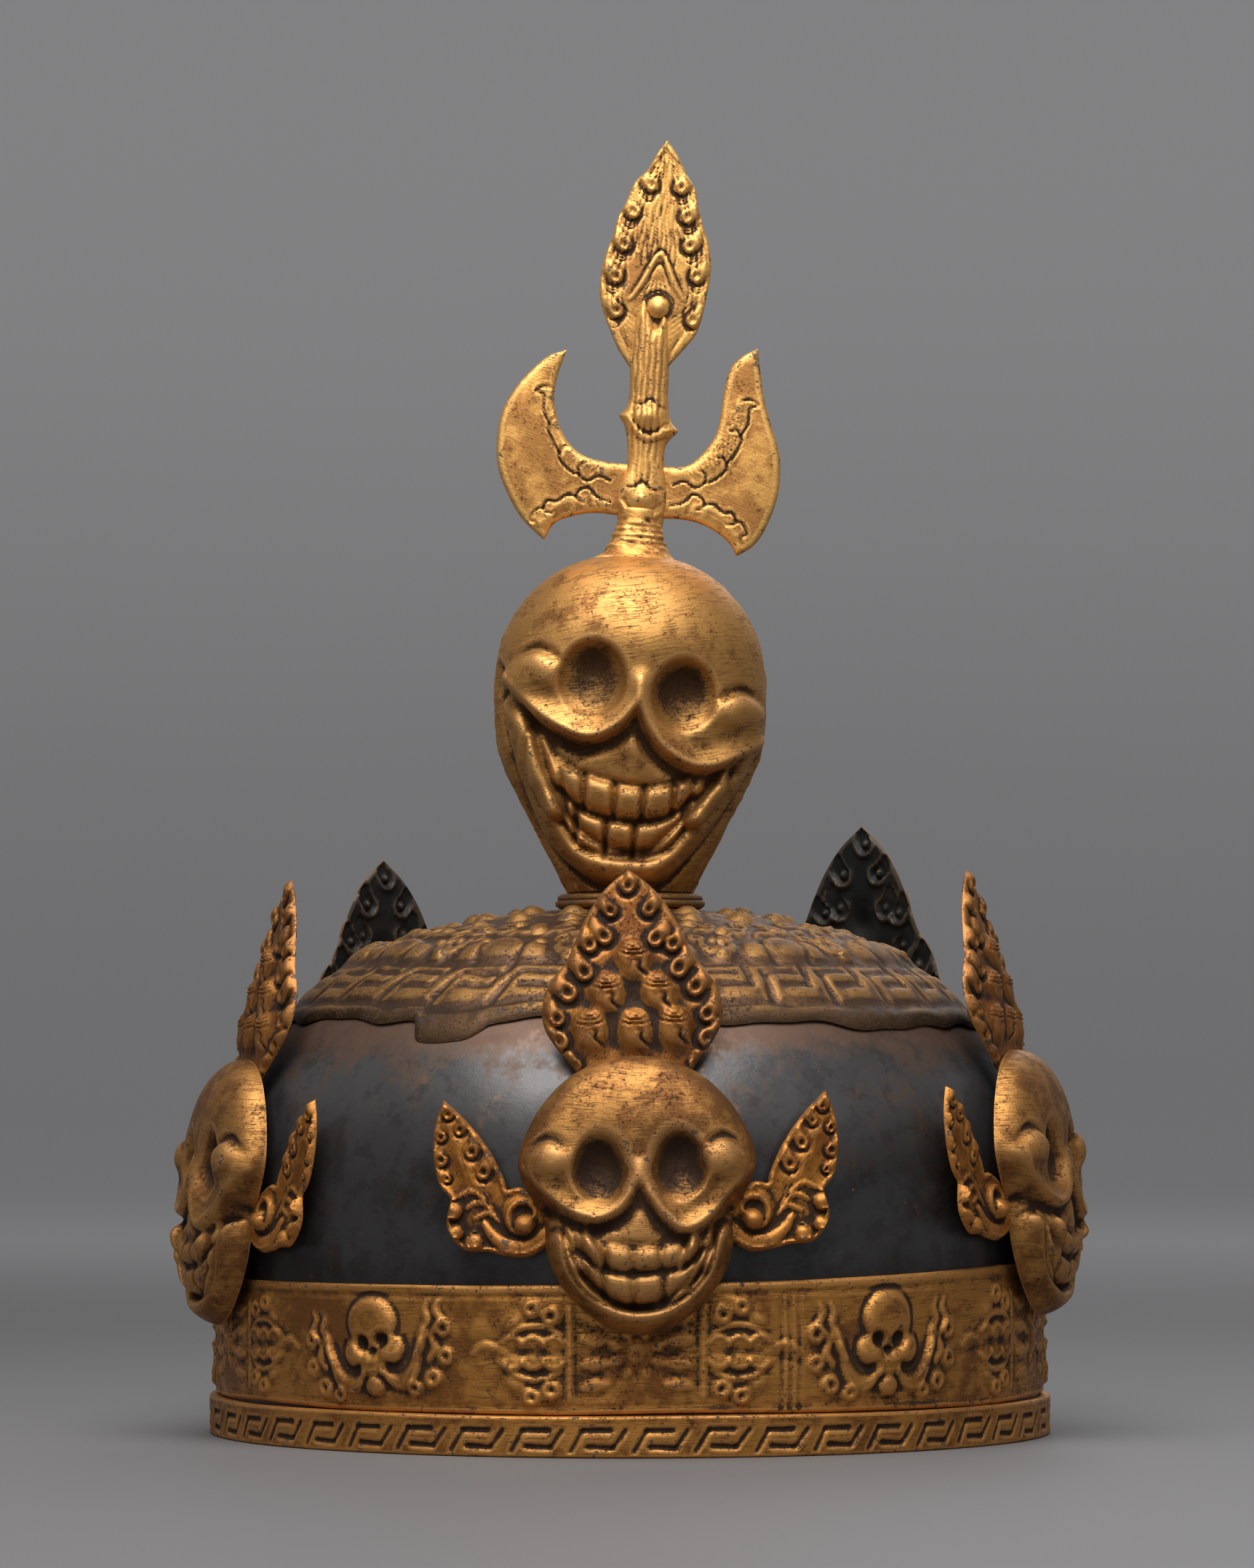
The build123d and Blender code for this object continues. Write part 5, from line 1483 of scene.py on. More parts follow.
def arm_relief(points, side):
    """Leaf scrolls chased along the two inner edges of an arm, with short hatching beside them."""
    sheet = Sheet(*points.T)

    def cut(line, half=0.36, depth=0.38, lip=0.2):
        sheet.cut([(side * x, y) for x, y in line], half, depth, lip=lip)

    cut([(8, 18.6), (11, 19.6), (13.6, 18.2), (15.8, 19.4), (16.2, 21.6), (14.6, 22.8)])
    cut([(15.8, 19.4), (18.6, 20.6), (21.4, 23.6), (20.6, 26.2), (18.9, 26.4)])
    cut([(21, 24.4), (23.2, 27.4), (24.6, 31.2), (23.2, 33.6), (21.8, 33.2)])
    cut([(24.3, 31.8), (26, 35.4), (26.2, 39.2), (28.4, 40.2), (26.2, 41.6), (23.8, 41)])
    cut([(7.5, 13), (11, 14.2), (13.2, 16.4), (15.6, 15.6), (16.4, 13.6), (14.2, 12.6)])
    cut([(16.2, 14), (18.8, 14.2), (21.2, 12.4), (23.6, 12.4), (24.6, 10), (22.4, 9.2)])
    cut([(24.2, 10.6), (26.4, 9.8), (27.6, 7.2), (26, 6.4), (26.8, 4.2)])
    for line, half in (([(9, 21.6), (15.6, 23.4), (20.2, 28), (22.6, 34), (23.6, 41)], 3),
                       ([(8.5, 12.4), (15, 12), (20.4, 10.4), (25, 6.4)], 2.6)):
        sheet.roll([(side * x, y) for x, y in line], half, 0.45, ends=(0.7, 0.4), soft=True)
    inner = smooth_line([(9.5, 23.3), (15, 25.2), (18.6, 29), (20.6, 34), (21.4, 40)])
    for i in range(2, len(inner) - 1):
        x, y = inner[i]
        dx, dy = inner[i + 1] - inner[i - 1]
        long = hypot(dx, dy)
        nx, ny = dy / long, -dx / long
        cut([(x + nx * 1 - 0.2, y + ny * 1), (x + nx * 3.3, y + ny * 3.3 - 0.6)], 0.22, 0.28, 0)
    low = smooth_line([(9.5, 10.4), (14.5, 9.8), (18.6, 8.4), (21.6, 6.4)])
    for i in range(1, len(low) - 1):
        x, y = low[i]
        cut([(x, y + 1), (x + 1.2, y + 2.9)], 0.22, 0.26, 0)
    sheet.bump(side * 29, 26, 7, 16, 0.5, edge=2.4)
    return sheet.out


def stem_relief(points):
    """Ridges up the stem, two bosses, the lines of the thorns and two parting leaves."""
    sheet = Sheet(*points.T)
    for x, low, high in ((-3.2, 24, 60), (-1.6, 17, 62), (-0.1, 18, 57), (1.6, 18, 57), (3.2, 24, 58)):
        wave = [(x + 0.22 * sin(y * 0.9 + x), y) for y in np.linspace(low, high, 12)]
        sheet.cut(wave, 0.32, 0.38)
    for x, y in ((0.9, 35.1), (0.2, 13.9)):
        sheet.bump(x, y, 3.5, 3.3, 1.2, edge=2.6)
        sheet.bump(x, y + 0.4, 1.9, 1.9, 1, edge=1.6)
        sheet.cut(moved([(-4.6, 0.2), (-2.6, -2.6), (0, -3.9), (2.6, -2.8), (5.2, -0.6)], x, y), 0.36, 0.35)
        collar = moved([(-5.6, -0.4), (-3, -3.8), (0, -5.4), (3.2, -4.2), (6.4, -2.2)], x, y)
        sheet.roll(collar, 0.9, 0.45, ends=(0.4, 0.4))
        sheet.cut(moved([(-3.9, 3.2), (-1.9, 3.4), (0, 4.8), (2, 3.2), (4.2, 2.6)], x, y), 0.3, 0.5)
    return sheet.out


def two_faced(plate, half_thick, dome, edge, relief):
    """Points and faces of a thick plate with the same relief on both faces."""
    body = half_thick[0] + (half_thick[1] - half_thick[0]) * (1 - np.exp(-plate.sheet_off / dome))
    fade = np.clip(plate.sheet_off / 0.8, 0, 1) ** 0.6
    top = body + relief * fade - rounding(plate.sheet_off, edge)
    return plate.closed(top, -top)


def joined(parts):
    """One list of points and of faces from several."""
    points, faces, first = [], [], 0
    for p, f in parts:
        points.append(p)
        faces += [[i + first for i in face] for face in f]
        first += len(p)
    return np.vstack(points), faces


def neck_part():
    """Turned neck of the trident, as points in mm in the trident's own frame and faces."""
    rings = [
        (0.001, -3.6), (12.2, -3.5), (12.3, -2.5), (11, -1.3), (9.4, -0.2), (8.4, 1), (7.9, 2),
        (7.3, 2.7), (7.2, 3.5), (6.7, 4.2), (6.7, 5), (6.2, 5.7), (6.2, 6.5), (5.8, 7.2), (5.8, 8),
        (5.4, 9), (5.2, 10.5), (4.6, 12), (0.001, 12.4),
    ]
    mesh = turned_mesh("neck", [tuple(p) for p in smooth_line(rings, 3)], 96, trident_gold)
    points = np.array([v.co for v in mesh.vertices]) * 1000
    faces = [tuple(p.vertices) for p in mesh.polygons]
    bpy.data.meshes.remove(mesh)
    hand = np.random.default_rng(3)
    turn, lumps = np.arctan2(points[:, 1], points[:, 0]), np.zeros(len(points))
    for _ in range(240):
        away = np.angle(np.exp(1j * (turn - hand.uniform(-pi, pi)))) * 7
        off = np.hypot(away * 0.6, points[:, 2] - hand.uniform(-4, 9))
        lumps += hand.uniform(-0.45, 0.45) * np.exp(-((off / hand.uniform(0.6, 1.5)) ** 2))
    scale = 1 + lumps / np.maximum(np.hypot(points[:, 0], points[:, 1]), 2)
    x, y, z = points.T
    return np.column_stack([x * scale, z, y * scale]), [f[::-1] for f in faces]


arm_left, arm_right = Plate(arm_left_runs, 0.6), Plate(arm_right_runs, 0.6)
stem_plate = Plate(stem_runs, 0.5)
off = stem_plate.sheet_off
stem_body = 3.7 * np.sqrt(np.clip(1 - np.clip(1 - off / 4.6, 0, 1) ** 2, 0, 1))
stem_top = np.maximum(stem_body, 0.05) + stem_relief(stem_plate.points) * np.clip(off / 0.9, 0, 1) ** 0.6
trident_parts = [
    two_faced(blade_plate, (0.9, 1.6), 2.6, 0.6, blade_relief(blade_plate.points, 5)),
    two_faced(arm_left, (0.9, 1.45), 2, 0.55, arm_relief(arm_left.points, -1)),
    two_faced(arm_right, (0.9, 1.45), 2, 0.55, arm_relief(arm_right.points, 1)),
    stem_plate.closed(stem_top, -stem_top),
    neck_part(),
]
points, faces = joined(trident_parts)
finished_piece("trident_chased", placed(points, trident_place), faces, trident_gold,
               ["trident"], (14, 4, 0.45, 0.12))

# %% [markdown]
# The foot rim is a thick strip bent round the bowl, and its fret was cut with a chisel, one stroke at a
# time, so no two strokes are quite alike. Its outer face is a fine grid, with each stroke sunk into it.

# %% Foot rim
STRIP_INNER, RIM_OUTER, RIM_HIGH, FRETS = 103.15, 105.95, 9.8, 45


def strip_piece(name, node, outer, rows, angle, low, high, wear_and_shade):
    """A strip round the bowl: its grid of chased points, closed by a plain inner wall."""
    columns = len(angle)
    inner = [round_axis(STRIP_INNER, angle, np.broadcast_to(z, columns)) for z in (low, high)]
    first, last = rows * columns, (rows - 1) * columns
    faces = grid_faces(rows, columns, 0, wrap=True) + grid_faces(2, columns, first, flip=True, wrap=True)
    faces += ring_wall(first, 0, columns) + ring_wall(last, first + columns, columns)
    finished_piece(name, np.vstack([outer, *inner]), faces, band_gold, [node], wear_and_shade)


def foot_rim_piece():
    columns, rows = 1440, 24
    around = 2 * pi * RIM_OUTER
    u = np.linspace(0, around, columns, endpoint=False)
    share = 0.5 - 0.5 * 0.985 * np.cos(np.linspace(0, pi, rows))
    z = RIM_HIGH * (0.4 * share + 0.6 * np.linspace(0, 1, rows))
    z[0], z[-1] = 0, RIM_HIGH
    uu, zz = np.meshgrid(u, z)
    sheet = Sheet(uu, zz)
    hand = np.random.default_rng(12)
    pitch = around / FRETS
    for i in range(FRETS):
        for shift in ((0,) if 0 < i < FRETS - 1 else (0, around if i == 0 else -around)):
            middle = (i + 0.5) * pitch + shift
            slips = hand.normal(0, 0.22, 6) * 0.6
            tilt = hand.normal(0, 0.12)
            first = [(-0.45, 0.15), (-0.25, 0.66), (0.18, 0.66)]
            second = [(-0.2, 0.28), (0.21, 0.25), (0.43, 0.68)]
            for stroke, slip in ((first, slips[:3]), (second, slips[3:])):
                line = [(middle + x * pitch + d, y * RIM_HIGH + tilt) for (x, y), d in zip(stroke, slip)]
                for a, b in zip(line, line[1:]):
                    flat = abs(a[1] - b[1]) < 1.2
                    sheet.cut([a, b], 0.5 if flat else 0.42, 0.95 if flat else 0.75, smooth=False, lip=0.16)
    sheet.dents(hand, 240, (0, around), (0, RIM_HIGH), (2, 9), (1, 4), 0.13)
    out = softened(sheet.out.reshape(uu.shape), 1, wrap=True)
    edge = np.minimum(zz, RIM_HIGH - zz)
    out = out * np.clip(edge / 0.7, 0, 1) - rounding(edge, 0.7)
    angle = uu / RIM_OUTER
    wave = 0.18 * np.sin(angle * 3 + 1) + 0.12 * np.sin(angle * 7)
    height = zz + wave * (zz / RIM_HIGH) * 0.8
    outer = round_axis(RIM_OUTER + np.minimum(out, 0.12), angle, height)
    strip_piece("foot_rim_cut", "foot_rim", outer, rows, angle[0], 0.0, height[-1], (12, 3, 0.35, 0.09))


foot_rim_piece()

# %% [markdown]
# The band above it was beaten from behind and chased from the front. Five crossed thunderbolts and five
# small skulls with vines in their mouths follow one another round it. One sector is drawn as the beads,
# lobes and cut lines that a chaser would make, with a little of the hand's own wander in each.

# %% Chased band
BAND_LOW, BAND_HIGH, BAND_OUTER = 9.95, 30.9, 104.35
vine_curls = [(16.4, 6.3, 2, 0.4), (11.4, 4.6, 1.7, 2.2), (20.3, 18.4, 2, 1.2), (20, 11.6, 1.9, 5)]


def small_skull(sheet, x0, lean):
    """Small skull with vines in its mouth, about its own middle; heights are from the band's foot."""
    c, s = cos(lean), sin(lean)

    def at(x, y):
        return x0 + x * c - (y - 15) * s, 15 + x * s + (y - 15) * c

    def line(points, side=1):
        return [at(side * x, y) for x, y in points]

    sheet.bump(*at(0, 21.4), 7.3, 6.6, 2.2, round_top=True)
    sheet.cut(line(arch(0, 21.4, 7.8, 7.1, -20, 200, 16)), 0.36, 0.28, smooth=False)
    for side in (-1, 1):
        sheet.bump(*at(side * 5.9, 14.4), 3.3, 3.6, 1.5, round_top=True)
        sheet.bump(*at(side * 2.9, 12.9), 2.3, 2.5, 1.1)
        sheet.bump(*at(side * 2.9, 16.9), 1.9, 1.75, -2.6, edge=3)
        sheet.curl(*at(side * 6.3, 14.4), 1.9, radians(90), 0.7, side, 0.4, 0.4, 0, 0)
        sheet.cut(line([(9, 17.4), (9.3, 13.4), (6.6, 10.6), (4.2, 11.2)], side), 0.36, 0.6)
        for lift, wide, rise in ((0.0, 1.5, 0.85), (1.9, 0.8, 0.45), (-1.7, 0.7, 0.4)):
            vine = [(2.6, 9 + lift * 0.3), (5.6, 6.6 + lift * 0.6), (9.2, 6.4 + lift), (12, 10 + lift),
                    (13.4, 14.6 + lift * 0.6), (16, 18.4 + lift * 0.4)]
            sheet.roll(line(vine, side), wide, rise, ends=(0.6, 0.3))
        for x, y, radius, turn in vine_curls:
            turn = turn if side > 0 else pi - turn
            sheet.bump(*at(side * x, y), radius * 1.05, radius * 1.05, 0.55)
            sheet.curl(*at(side * x, y), radius, turn, 1, side, 0.7, 0.8, 0.8, 0.5)
        for x, y, tilt in ((13.2, 15.4, 0.5), (16.6, 14.6, 0.15), (18.6, 21.4, -0.3), (15.2, 21.4, 0.1)):
            flame = [(x - 1, y - 3.4), (x + 0.9, y - 0.8), (x + tilt, y + 1.8), (x + 1.2 + tilt, y + 4.4)]
            flame = line(flame, side)
            sheet.roll(flame, 1.25, 0.7, ends=(0.6, 0.1))
            sheet.cut([(px + 1.35 * side, py) for px, py in flame], 0.3, 0.35, fade=True)
    sheet.bump(*at(-0.1, 14.4), 0.9, 1.1, -1.2, edge=3)
    sheet.bump(*at(0, 10.4), 3.3, 2.9, 1.9, edge=3.5)
    for x in (-1.9, -0.65, 0.65, 1.9):
        sheet.cut(line([(x, 12.6), (x * 0.9, 8.2)]), 0.28, 0.8, smooth=False)
    sheet.cut(line([(-2.9, 11.4), (0, 10.7), (2.9, 11.4)]), 0.28, 0.7)
    sheet.bump(*at(0, 6), 3, 2.5, 1.6, round_top=True)
    sheet.cut(line([(-3.2, 8.3), (-2, 7.6), (0, 8.1), (2, 7.6), (3.2, 8.3)]), 0.3, 0.5)


def thunderbolt(sheet, x0):
    """Crossed thunderbolts: beads, lens-shaped prongs, and a lotus with spirals at each side."""

    def line(points, side=1, sign=1, base=0.0):
        return [(x0 + side * x, base + sign * y) for x, y in points]

    sheet.bump(x0, 14.5, 3.4, 3.4, 1.1, edge=3)
    for turn in range(8):
        c, s = cos(turn * pi / 4 + 0.39), sin(turn * pi / 4 + 0.39)
        spoke = [(4 * c, 14.5 + 4 * s), (7.2 * c, 14.5 + 6.4 * s)]
        sheet.roll(line(spoke), 1.5, 0.6, ends=(0.4, 0.3), smooth=False)
    for side in (-1, 1):
        for y, tilt in ((7.2, -0.2), (12, -0.05), (17.4, 0.1), (22.6, 0.2)):
            prong = [(6.2, y), (9.6, y + 1.6 * tilt), (13.6, y + 5 * tilt)]
            sheet.roll(line(prong, side), 1.8, 0.75, ends=(0.15, 0.15))
            groove = [(6.6, y), (9.8, y + 1.4 * tilt), (13, y + 4.6 * tilt)]
            sheet.cut(line(groove, side), 0.24, 0.2, fade=True)
        for x in (14.7, 17):
            sheet.cut(line([(x, 3.5), (x, 26.5)], side), 0.3, 0.4, smooth=False)
        for sign in (1, -1):
            base = 14.7 + sign * 1
            for x, wide in ((19.6, 2.6), (24.6, 2.8), (29.4, 2.5)):
                petal = line(arch(x, 0.2, wide, 2.5, 8, 172, 9), side, sign, base)
                sheet.roll(petal, 0.55, 0.9, ends=(0.5, 0.5), smooth=False)
                sheet.bump(x0 + side * x, base + sign * 1.1, wide * 0.8, 1.5, 0.7)
            outer = [(17.8, 3.2), (22, 5.2), (27, 5), (31.8, 2.2), (33.8, 0.2)]
            sheet.roll(line(outer, side, sign, base), 0.6, 0.85, ends=(0.5, 0.3))
            for x, y, radius in ((20.3, 8.4, 2.15), (25, 10.2, 2)):
                x, y = x0 + side * x, base + sign * (y - 0.6)
                sheet.bump(x, y, radius * 1.2, radius * 1.2, 0.6)
                sheet.curl(x, y, radius, radians(90), 1.5, side * sign, 0.5, 1, 0, 0.4)
            sheet.bump(x0 + side * 29.2, base + sign * 6.4, 2.4, 1.7, 0.9, turn=side * sign * -0.5)
        sheet.roll(line([(31.5, 14.7), (36, 16), (40.5, 14)], side), 1.5, 0.6, ends=(0.6, 0.2))
        for shift in (-1.6, 0.0, 1.6):
            rib = [(32, 14.7 + shift), (37, 15.4 + shift * 1.6), (42, 13 + shift)]
            sheet.cut(line(rib, side), 0.28, 0.35, fade=True)


def band_piece():
    columns, rows = 1296, 64
    around = 2 * pi * BAND_OUTER
    u = np.linspace(-around / 2, around / 2, columns, endpoint=False)
    v = np.linspace(0, BAND_HIGH, rows)
    uu, vv = np.meshgrid(u, v)
    sheet = Sheet(uu, vv)
    hand = np.random.default_rng(21)
    sector = around / 5
    for k in range(-3, 4):
        thunderbolt(sheet, k * sector + (0 if k else 1.5))
        small_skull(sheet, (k + 0.5) * sector, {-1: 0.1, 0: 0.0}.get(k, hand.normal(0, 0.05)))
    beads = np.arange(4.2, 26.5, 2.05)
    for k in range(-2, 3):
        for side in (-1, 1):
            for y in beads:
                sheet.bump(k * sector + (0 if k else 1.5) + side * 15.85, y, 1, 1, 0.6)
    sheet.cut([(-around / 2, 28.2), (around / 2, 28.2)], 0.34, 0.5, smooth=False, lip=0.15)
    sheet.cut([(-around / 2, 1.9), (around / 2, 1.9)], 0.3, 0.35, smooth=False, lip=0.1)
    for x in (36.4, 38.6, 41):
        sheet.cut([(x, 1.5), (x + 0.3, 15), (x - 0.1, 27)], 0.36, 0.55, smooth=True, lip=0.12)
    sheet.cut([(41, 2.6), (60, 2.9), (86, 2.5)], 0.3, 0.4, lip=0.1)
    sheet.dents(hand, 700, (-around / 2, around / 2), (0, BAND_HIGH), (1.5, 8), (1.2, 5), 0.2)
    out = softened(np.minimum(sheet.out.reshape(uu.shape), 1.9), 1, wrap=True)
    edge = np.minimum(vv, BAND_HIGH - vv)
    out = out * np.clip(edge / 0.9, 0, 1) ** 0.7 - rounding(edge, 0.5)
    angle = uu / BAND_OUTER
    turns = [-180, -120, -70, -20, 0, 20, 60, 90, 140, 180]
    top = np.interp(np.degrees(angle), turns, [0.3, 0.0, -1.2, -0.6, 0.0, 0.5, 2.6, 2.2, 0.6, 0.3])
    foot = 0.25 * np.sin(angle * 5 + 0.6) + 0.15 * np.sin(angle * 11)
    share = vv / BAND_HIGH
    height = BAND_LOW + vv + top * share**2 + foot * (1 - share) ** 3 + 0.2 * (1 - share) ** 3
    outer = round_axis(BAND_OUTER - 0.1 + out, angle, height)
    strip_piece("skull_band_chased", "skull_band", outer, rows, angle[0], height[0], height[-1],
                (16, 4, 0.55, 0.11))


band_piece()

# %% [markdown]
# The cap is one beaten sheet over the crown of the bowl. From its edge inwards it has a thick wavy
# border, a key fret of dark grooves between puffed pads, a ring of lotus petals with scrolls between
# them, and berries. Its edge was never trimmed true, and an old patch laps down at the front left.

# %% Cap
CAP_EDGE, CAP_IN, REFERENCE = 88, 17, 76
profile_r = np.linspace(CAP_EDGE + 8, 10, 800)
profile_z = crown_height(profile_r, 1.35)
profile_w = np.concatenate([[0], np.cumsum(np.hypot(np.diff(profile_r), np.diff(profile_z)))])
profile_w -= np.interp(-CAP_EDGE, -profile_r, profile_w)


def slant(radius):
    """Distance over the sheet from the cap's edge in to a radius."""
    return np.interp(-np.asarray(radius, float), -profile_r, profile_w)


def cap_spot(azimuth, radius):
    return radians(azimuth) * REFERENCE, float(slant(radius))


def cap_relief(u, w):
    """Everything beaten into the cap, on u round it and w in from its edge."""
    sheet = Sheet(u, w)
    hand = np.random.default_rng(33)
    around = 2 * pi * REFERENCE
    pitch = around / 30
    low, high = float(slant(84)), float(slant(73.4))

    def ring_line(radius, wander):
        a = np.linspace(-190, 190, 180)
        base = slant(radius)
        waves = [base + wander * sin(radians(x * 7) + radius) for x in a]
        return [(radians(x) * REFERENCE, y) for x, y in zip(a, waves)]

    sheet.roll(ring_line(86.3, 0.35), 1.2, 0.55, smooth=False, soft=True)
    sheet.cut(ring_line(84.7, 0.35), 0.5, 0.9, smooth=False)
    sheet.cut(ring_line(72.6, 0.3), 0.6, 0.55, smooth=False)
    for i in range(-17, 17):
        middle = (i + 0.5) * pitch
        azimuth = degrees(middle / REFERENCE)
        lean = 0.26 * (1 / (1 + exp((azimuth + 5) / 8)))
        d = hand.normal(0, 0.35, 12)
        first = [(-0.46, 0.06), (-0.42 + lean, 0.8), (0.14 + lean, 0.8)]
        second = [(-0.22 + lean * 0.4, 0.42), (0.26 + lean * 0.4, 0.42), (0.32 + lean, 0.96)]
        for k, stroke in enumerate((first, second)):
            strokes = zip(stroke, d[6 * k : 6 * k + 6].reshape(3, 2) * (1, 0.6))
            line = [(middle + x * pitch + dx, low + y * (high - low) + dy) for (x, y), (dx, dy) in strokes]
            for a, b in zip(line, line[1:]):
                sheet.cut([a, b], 0.72, 1.15, smooth=False, lip=0.25)
        for x, y in ((-0.1, 0.62), (0.05, 0.18), (0.42 + lean * 0.6, 0.5)):
            sheet.bump(middle + x * pitch, low + y * (high - low), 4.4, 2.6, 0.55)
    for k in range(-7, 7):
        azimuth = -26 + 30 * k + hand.normal(0, 1.2)
        x, y = cap_spot(azimuth, 67.2)
        sheet.bump(x, y, 7.4, 6, 2.3, edge=3.2)
        for side in (-1, 1):
            sheet.bump(x + side * 9.2, y - 1, 4.2, 4.6, 1.5, edge=3)
            sheet.cut(moved([(5.2, -6), (6.6, -1.5), (5.4, 4.2), (2.4, 6.4)], x, y, side), 0.6, 0.9)
        for step in range(-4, 5):
            fan = [(x + step * 0.95, y - 5.6), (x + step * 1.25, y - 1.8), (x + step * 1.05, y + 2.2)]
            sheet.cut(fan, 0.3, 0.42, fade=True)
        sheet.cut(arch(x, y - 0.5, 6.8, 6.6, 5, 175, 11), 0.5, 0.7, smooth=False)
        bx, by = cap_spot(azimuth + 15, 66.5)
        for side in (-1, 1):
            leaf = moved([(-1.5, -5.5), (2.2, -2.8), (4.4, 1.2), (3.6, 4.6)], bx, by, side)
            sheet.roll(leaf, 1.9, 1.5, ends=(0.5, 0.3), undercut=0.3)
            sheet.cut([(px + side * 0.3, py) for px, py in leaf], 0.3, 0.5, fade=True)
            sheet.curl(bx + side * 4.6, by + 6.4, 2.4, radians(90), 1.2, -side, 0.8, 1.3, 0, 0.6)
        sheet.bump(bx, by - 1, 1.9, 2.4, 1.7, round_top=True)
        sheet.bump(bx, by + 4.5, 1.7, 1.9, 1.5, round_top=True)
        for turn in range(4):
            ax = azimuth + 7.5 * turn + hand.normal(0, 0.8)
            px, py = cap_spot(ax, 56.5 + hand.normal(0, 0.7))
            wave = moved([(-5.2, -2.6), (-2.2, -0.2), (1.6, -0.6), (4.6, 2.4)], px, py)
            sheet.roll(wave, 1.5, 1.25, ends=(0.3, 0.4), undercut=0.25)
            if turn % 2:
                sheet.bump(px + 2.2, py + 3, 2.4, 1.8, 1.2)
                sheet.bump(px - 2.4, py + 3.4, 2.4, 1.8, 1.2)
        for turn in range(3):
            px, py = cap_spot(azimuth + 10 * turn + hand.normal(0, 1.5), 49 + hand.normal(0, 0.8))
            sheet.curl(px, py, 3, hand.uniform(0, 6), 0.8, 1, 1, 1.1, 0.6, 0.4)
        for turn in range(2):
            px, py = cap_spot(azimuth + 15 * turn + 4, 34.5 + hand.normal(0, 0.8))
            wave = moved([(-6, -2), (-1, 0.6), (5, -0.6), (9, 2)], px, py)
            sheet.roll(wave, 1.4, 0.8, ends=(0.3, 0.3), soft=True)
    for _ in range(260):
        x, y = hand.uniform(-around / 2, around / 2), hand.uniform(0.2, 2.6)
        sheet.bump(x, y, 1.1, 0.8, hand.uniform(-0.3, 0.3))
    sheet.dents(hand, 1300, (-around / 2, around / 2), (0, 78), (2, 7), (1.5, 5), 0.2)
    return sheet.out


def cap_piece():
    columns = 800
    radii = np.concatenate([np.linspace(CAP_EDGE, 46, 66, endpoint=False), np.linspace(46, CAP_IN, 26)])
    azimuth = np.linspace(-180, 180, columns, endpoint=False)
    a, r = np.meshgrid(np.radians(azimuth), radii)
    relief = softened(cap_relief((a * REFERENCE).ravel(), slant(r).ravel()).reshape(a.shape), 2, wrap=True)
    bearing = np.degrees(a)
    ragged = 0.5 * np.sin(a * 9 + 1) + 0.35 * np.sin(a * 17 + 2.2) + 0.25 * np.sin(a * 31)
    patch = 3.4 / (1 + np.exp(-(bearing + 35.5) / 0.35)) / (1 + np.exp((bearing + 24) / 0.9))
    droop = np.interp(bearing, [-180, -60, -10, 30, 80, 180], [0, -0.4, -0.2, 0.6, 1.1, 0])
    radius = r + (ragged + patch + droop) * np.exp(-(CAP_EDGE - r) / 3.5)
    edge = slant(r)
    lift = 0.55 * np.exp(-((edge / 1.4) ** 2)) * (0.5 + 0.5 * np.sin(a * 5 + 2) ** 2)
    lift = lift * np.where(patch > 1, 0.2, 1)
    fade = np.clip(edge / 0.8, 0, 1) * np.clip((r - CAP_IN) / 3, 0, 1)
    out = 1.3 + np.clip(relief, -1, 3.2) * fade + lift - 0.5 * np.exp(-((edge / 0.35) ** 2))
    z = crown_height(radius, out)
    rows = len(radii)
    under_in = np.array([0.0, -0.8, -4, -12, -24, -40, -58, -70])[:, None]
    under_r = under_in + radius[0]
    under_out = 0.18 + lift[0] * np.array([1, 0.6, 0, 0, 0, 0, 0, 0])[:, None]
    top = round_axis(radius, a, z)
    under = round_axis(under_r, a[0], crown_height(under_r, under_out))
    first = rows * columns
    count = first + len(under)
    points = np.vstack([top, under, [[0, 0, crown_height(0, 1.2)]], [[0, 0, crown_height(0, 0.18)]]])
    faces = grid_faces(rows, columns, 0, wrap=True) + grid_faces(8, columns, first, flip=True, wrap=True)
    faces += ring_wall(first, 0, columns) + ring_fan(first - columns, count, columns)
    faces += ring_fan(count - columns, count + 1, columns, flip=True)
    finished_piece("cap_chased", points, faces, cap_copper, ["cap"], (18, 5, 0.9, 0.16))


cap_piece()

# %% [markdown]
# Rings of bell-shaped bosses stand on the cap. They repeat, so a node tree sets them: it places points
# round a ring at a count and stands a small turned bell on every point, leaned outwards and sized a
# little by a fixed seed.

# %% Bosses on the cap


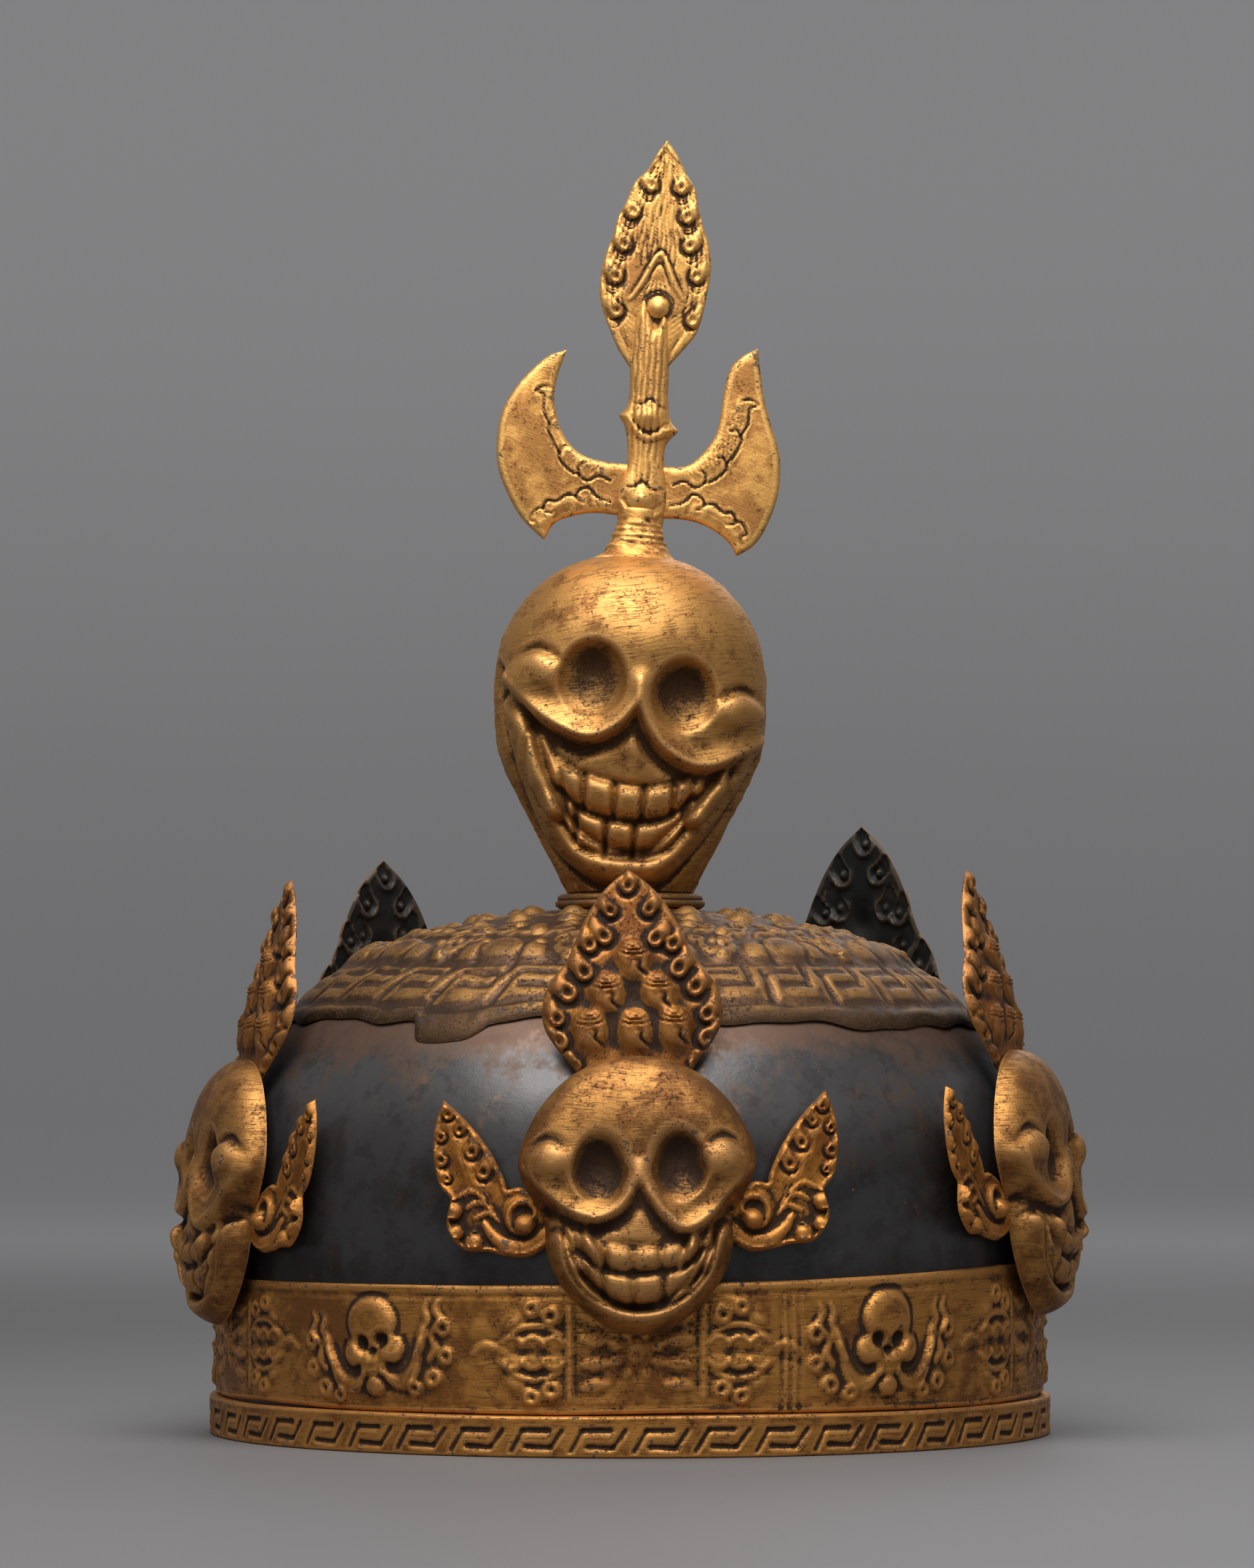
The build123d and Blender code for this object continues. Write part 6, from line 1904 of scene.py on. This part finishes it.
def stud_tree():
    """Stands bells round a ring, each leaned outwards and sized a little by chance."""
    numbers = {"Count": 12, "Ring radius": 0.03, "Height": 0.13, "Tilt": 0.0}
    numbers.update({"Size": 1.0, "Uneven": 0.15, "Seed": 1})
    tree = Shaping("ring_of_bosses", "Bell", numbers)
    node, given = tree.node, tree.given
    ring = node("GeometryNodeMeshCircle", {}, {"Vertices": given["Count"], "Radius": given["Ring radius"]})
    lift = node("ShaderNodeCombineXYZ", {}, {"Z": given["Height"]})
    raised = node("GeometryNodeSetPosition", {}, {"Geometry": ring, "Offset": lift})
    place = node("GeometryNodeInputPosition")
    x, y = [node("ShaderNodeSeparateXYZ", {}, {0: place}, out=k) for k in (0, 1)]
    turn = node("ShaderNodeCombineXYZ", {}, {"Y": given["Tilt"], "Z": x.sum("ARCTAN2", y, x)})
    least, most = given["Size"] - given["Uneven"], given["Size"] + given["Uneven"]
    chance = {2: least, 3: most, 8: given["Seed"]}
    size = node("FunctionNodeRandomValue", {"data_type": "FLOAT"}, chance, out=1)
    standing = {"Points": raised, "Instance": given["Bell"], "Rotation": turn, "Scale": size}
    tree.close(node("GeometryNodeInstanceOnPoints", {}, standing))
    return tree


boss_ring = stud_tree()


def boss_rings(name, bell, rings, metal):
    """Points and faces of several rings of bosses: radius, count, size and seed of each."""
    parts = []
    for radius, count, size, seed in rings:
        seat, inside, outside = [float(crown_height(radius + step, 0.75)) for step in (0, -1, 1)]
        values = {"Count": count, "Ring radius": radius * 0.001, "Height": seat * 0.001, "Metal": metal}
        values.update({"Tilt": atan2(inside - outside, 2), "Size": size, "Seed": seed})
        values["Uneven"] = 0.13 * size
        mesh = boss_ring.made_from(bpy.data.objects.new(name, bell.copy()), values)
        points = np.array([v.co for v in mesh.vertices]) * 1000
        parts.append((points, [tuple(p.vertices) for p in mesh.polygons]))
        bpy.data.meshes.remove(mesh)
    return joined(parts)


bell_profile = [(0.001, -1.6), (5.4, -1.6), (5.3, -0.7), (4.7, -0.1), (3.8, 0.45), (2.9, 1.15), (2.0, 1.8),
                (1.1, 2.25), (0.001, 2.4)]
bell = turned_mesh("bell", bell_profile, 18, cap_copper)
rings = [
    (28.5, 12, 0.95, 3), (39.0, 16, 1.0, 5), (46.5, 20, 0.7, 8), (54.0, 22, 0.92, 13), (62.0, 26, 0.7, 21),
]
points, faces = boss_rings("cap_bosses", bell, rings, cap_copper)
finished_piece("cap_bosses", points, faces, cap_copper, [], (5, 2, 0.5, 0.15))

# %% Collar and hidden pins
collar_profile = [
    (0.001, 132.6), (16.0, 131.5), (17.9, 131.75), (18.9, 132.5), (19.0, 133.4), (18.3, 133.95),
    (18.5, 134.4), (18.2, 135.1), (17.2, 135.5), (0.001, 135.6),
]
collar_mesh = turned_mesh("collar_turned", collar_profile, 96, cap_copper)
handed_over("collar_turned", collar_mesh, [cap_copper], ["collar"], (5, 2, 0.5, 0.2), 60)
for name, *_ in plaques:
    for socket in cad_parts[f"pin_{name}"].material_slots:
        socket.material = pin_copper
print("pins in", pin_copper.name)

# %% [markdown]
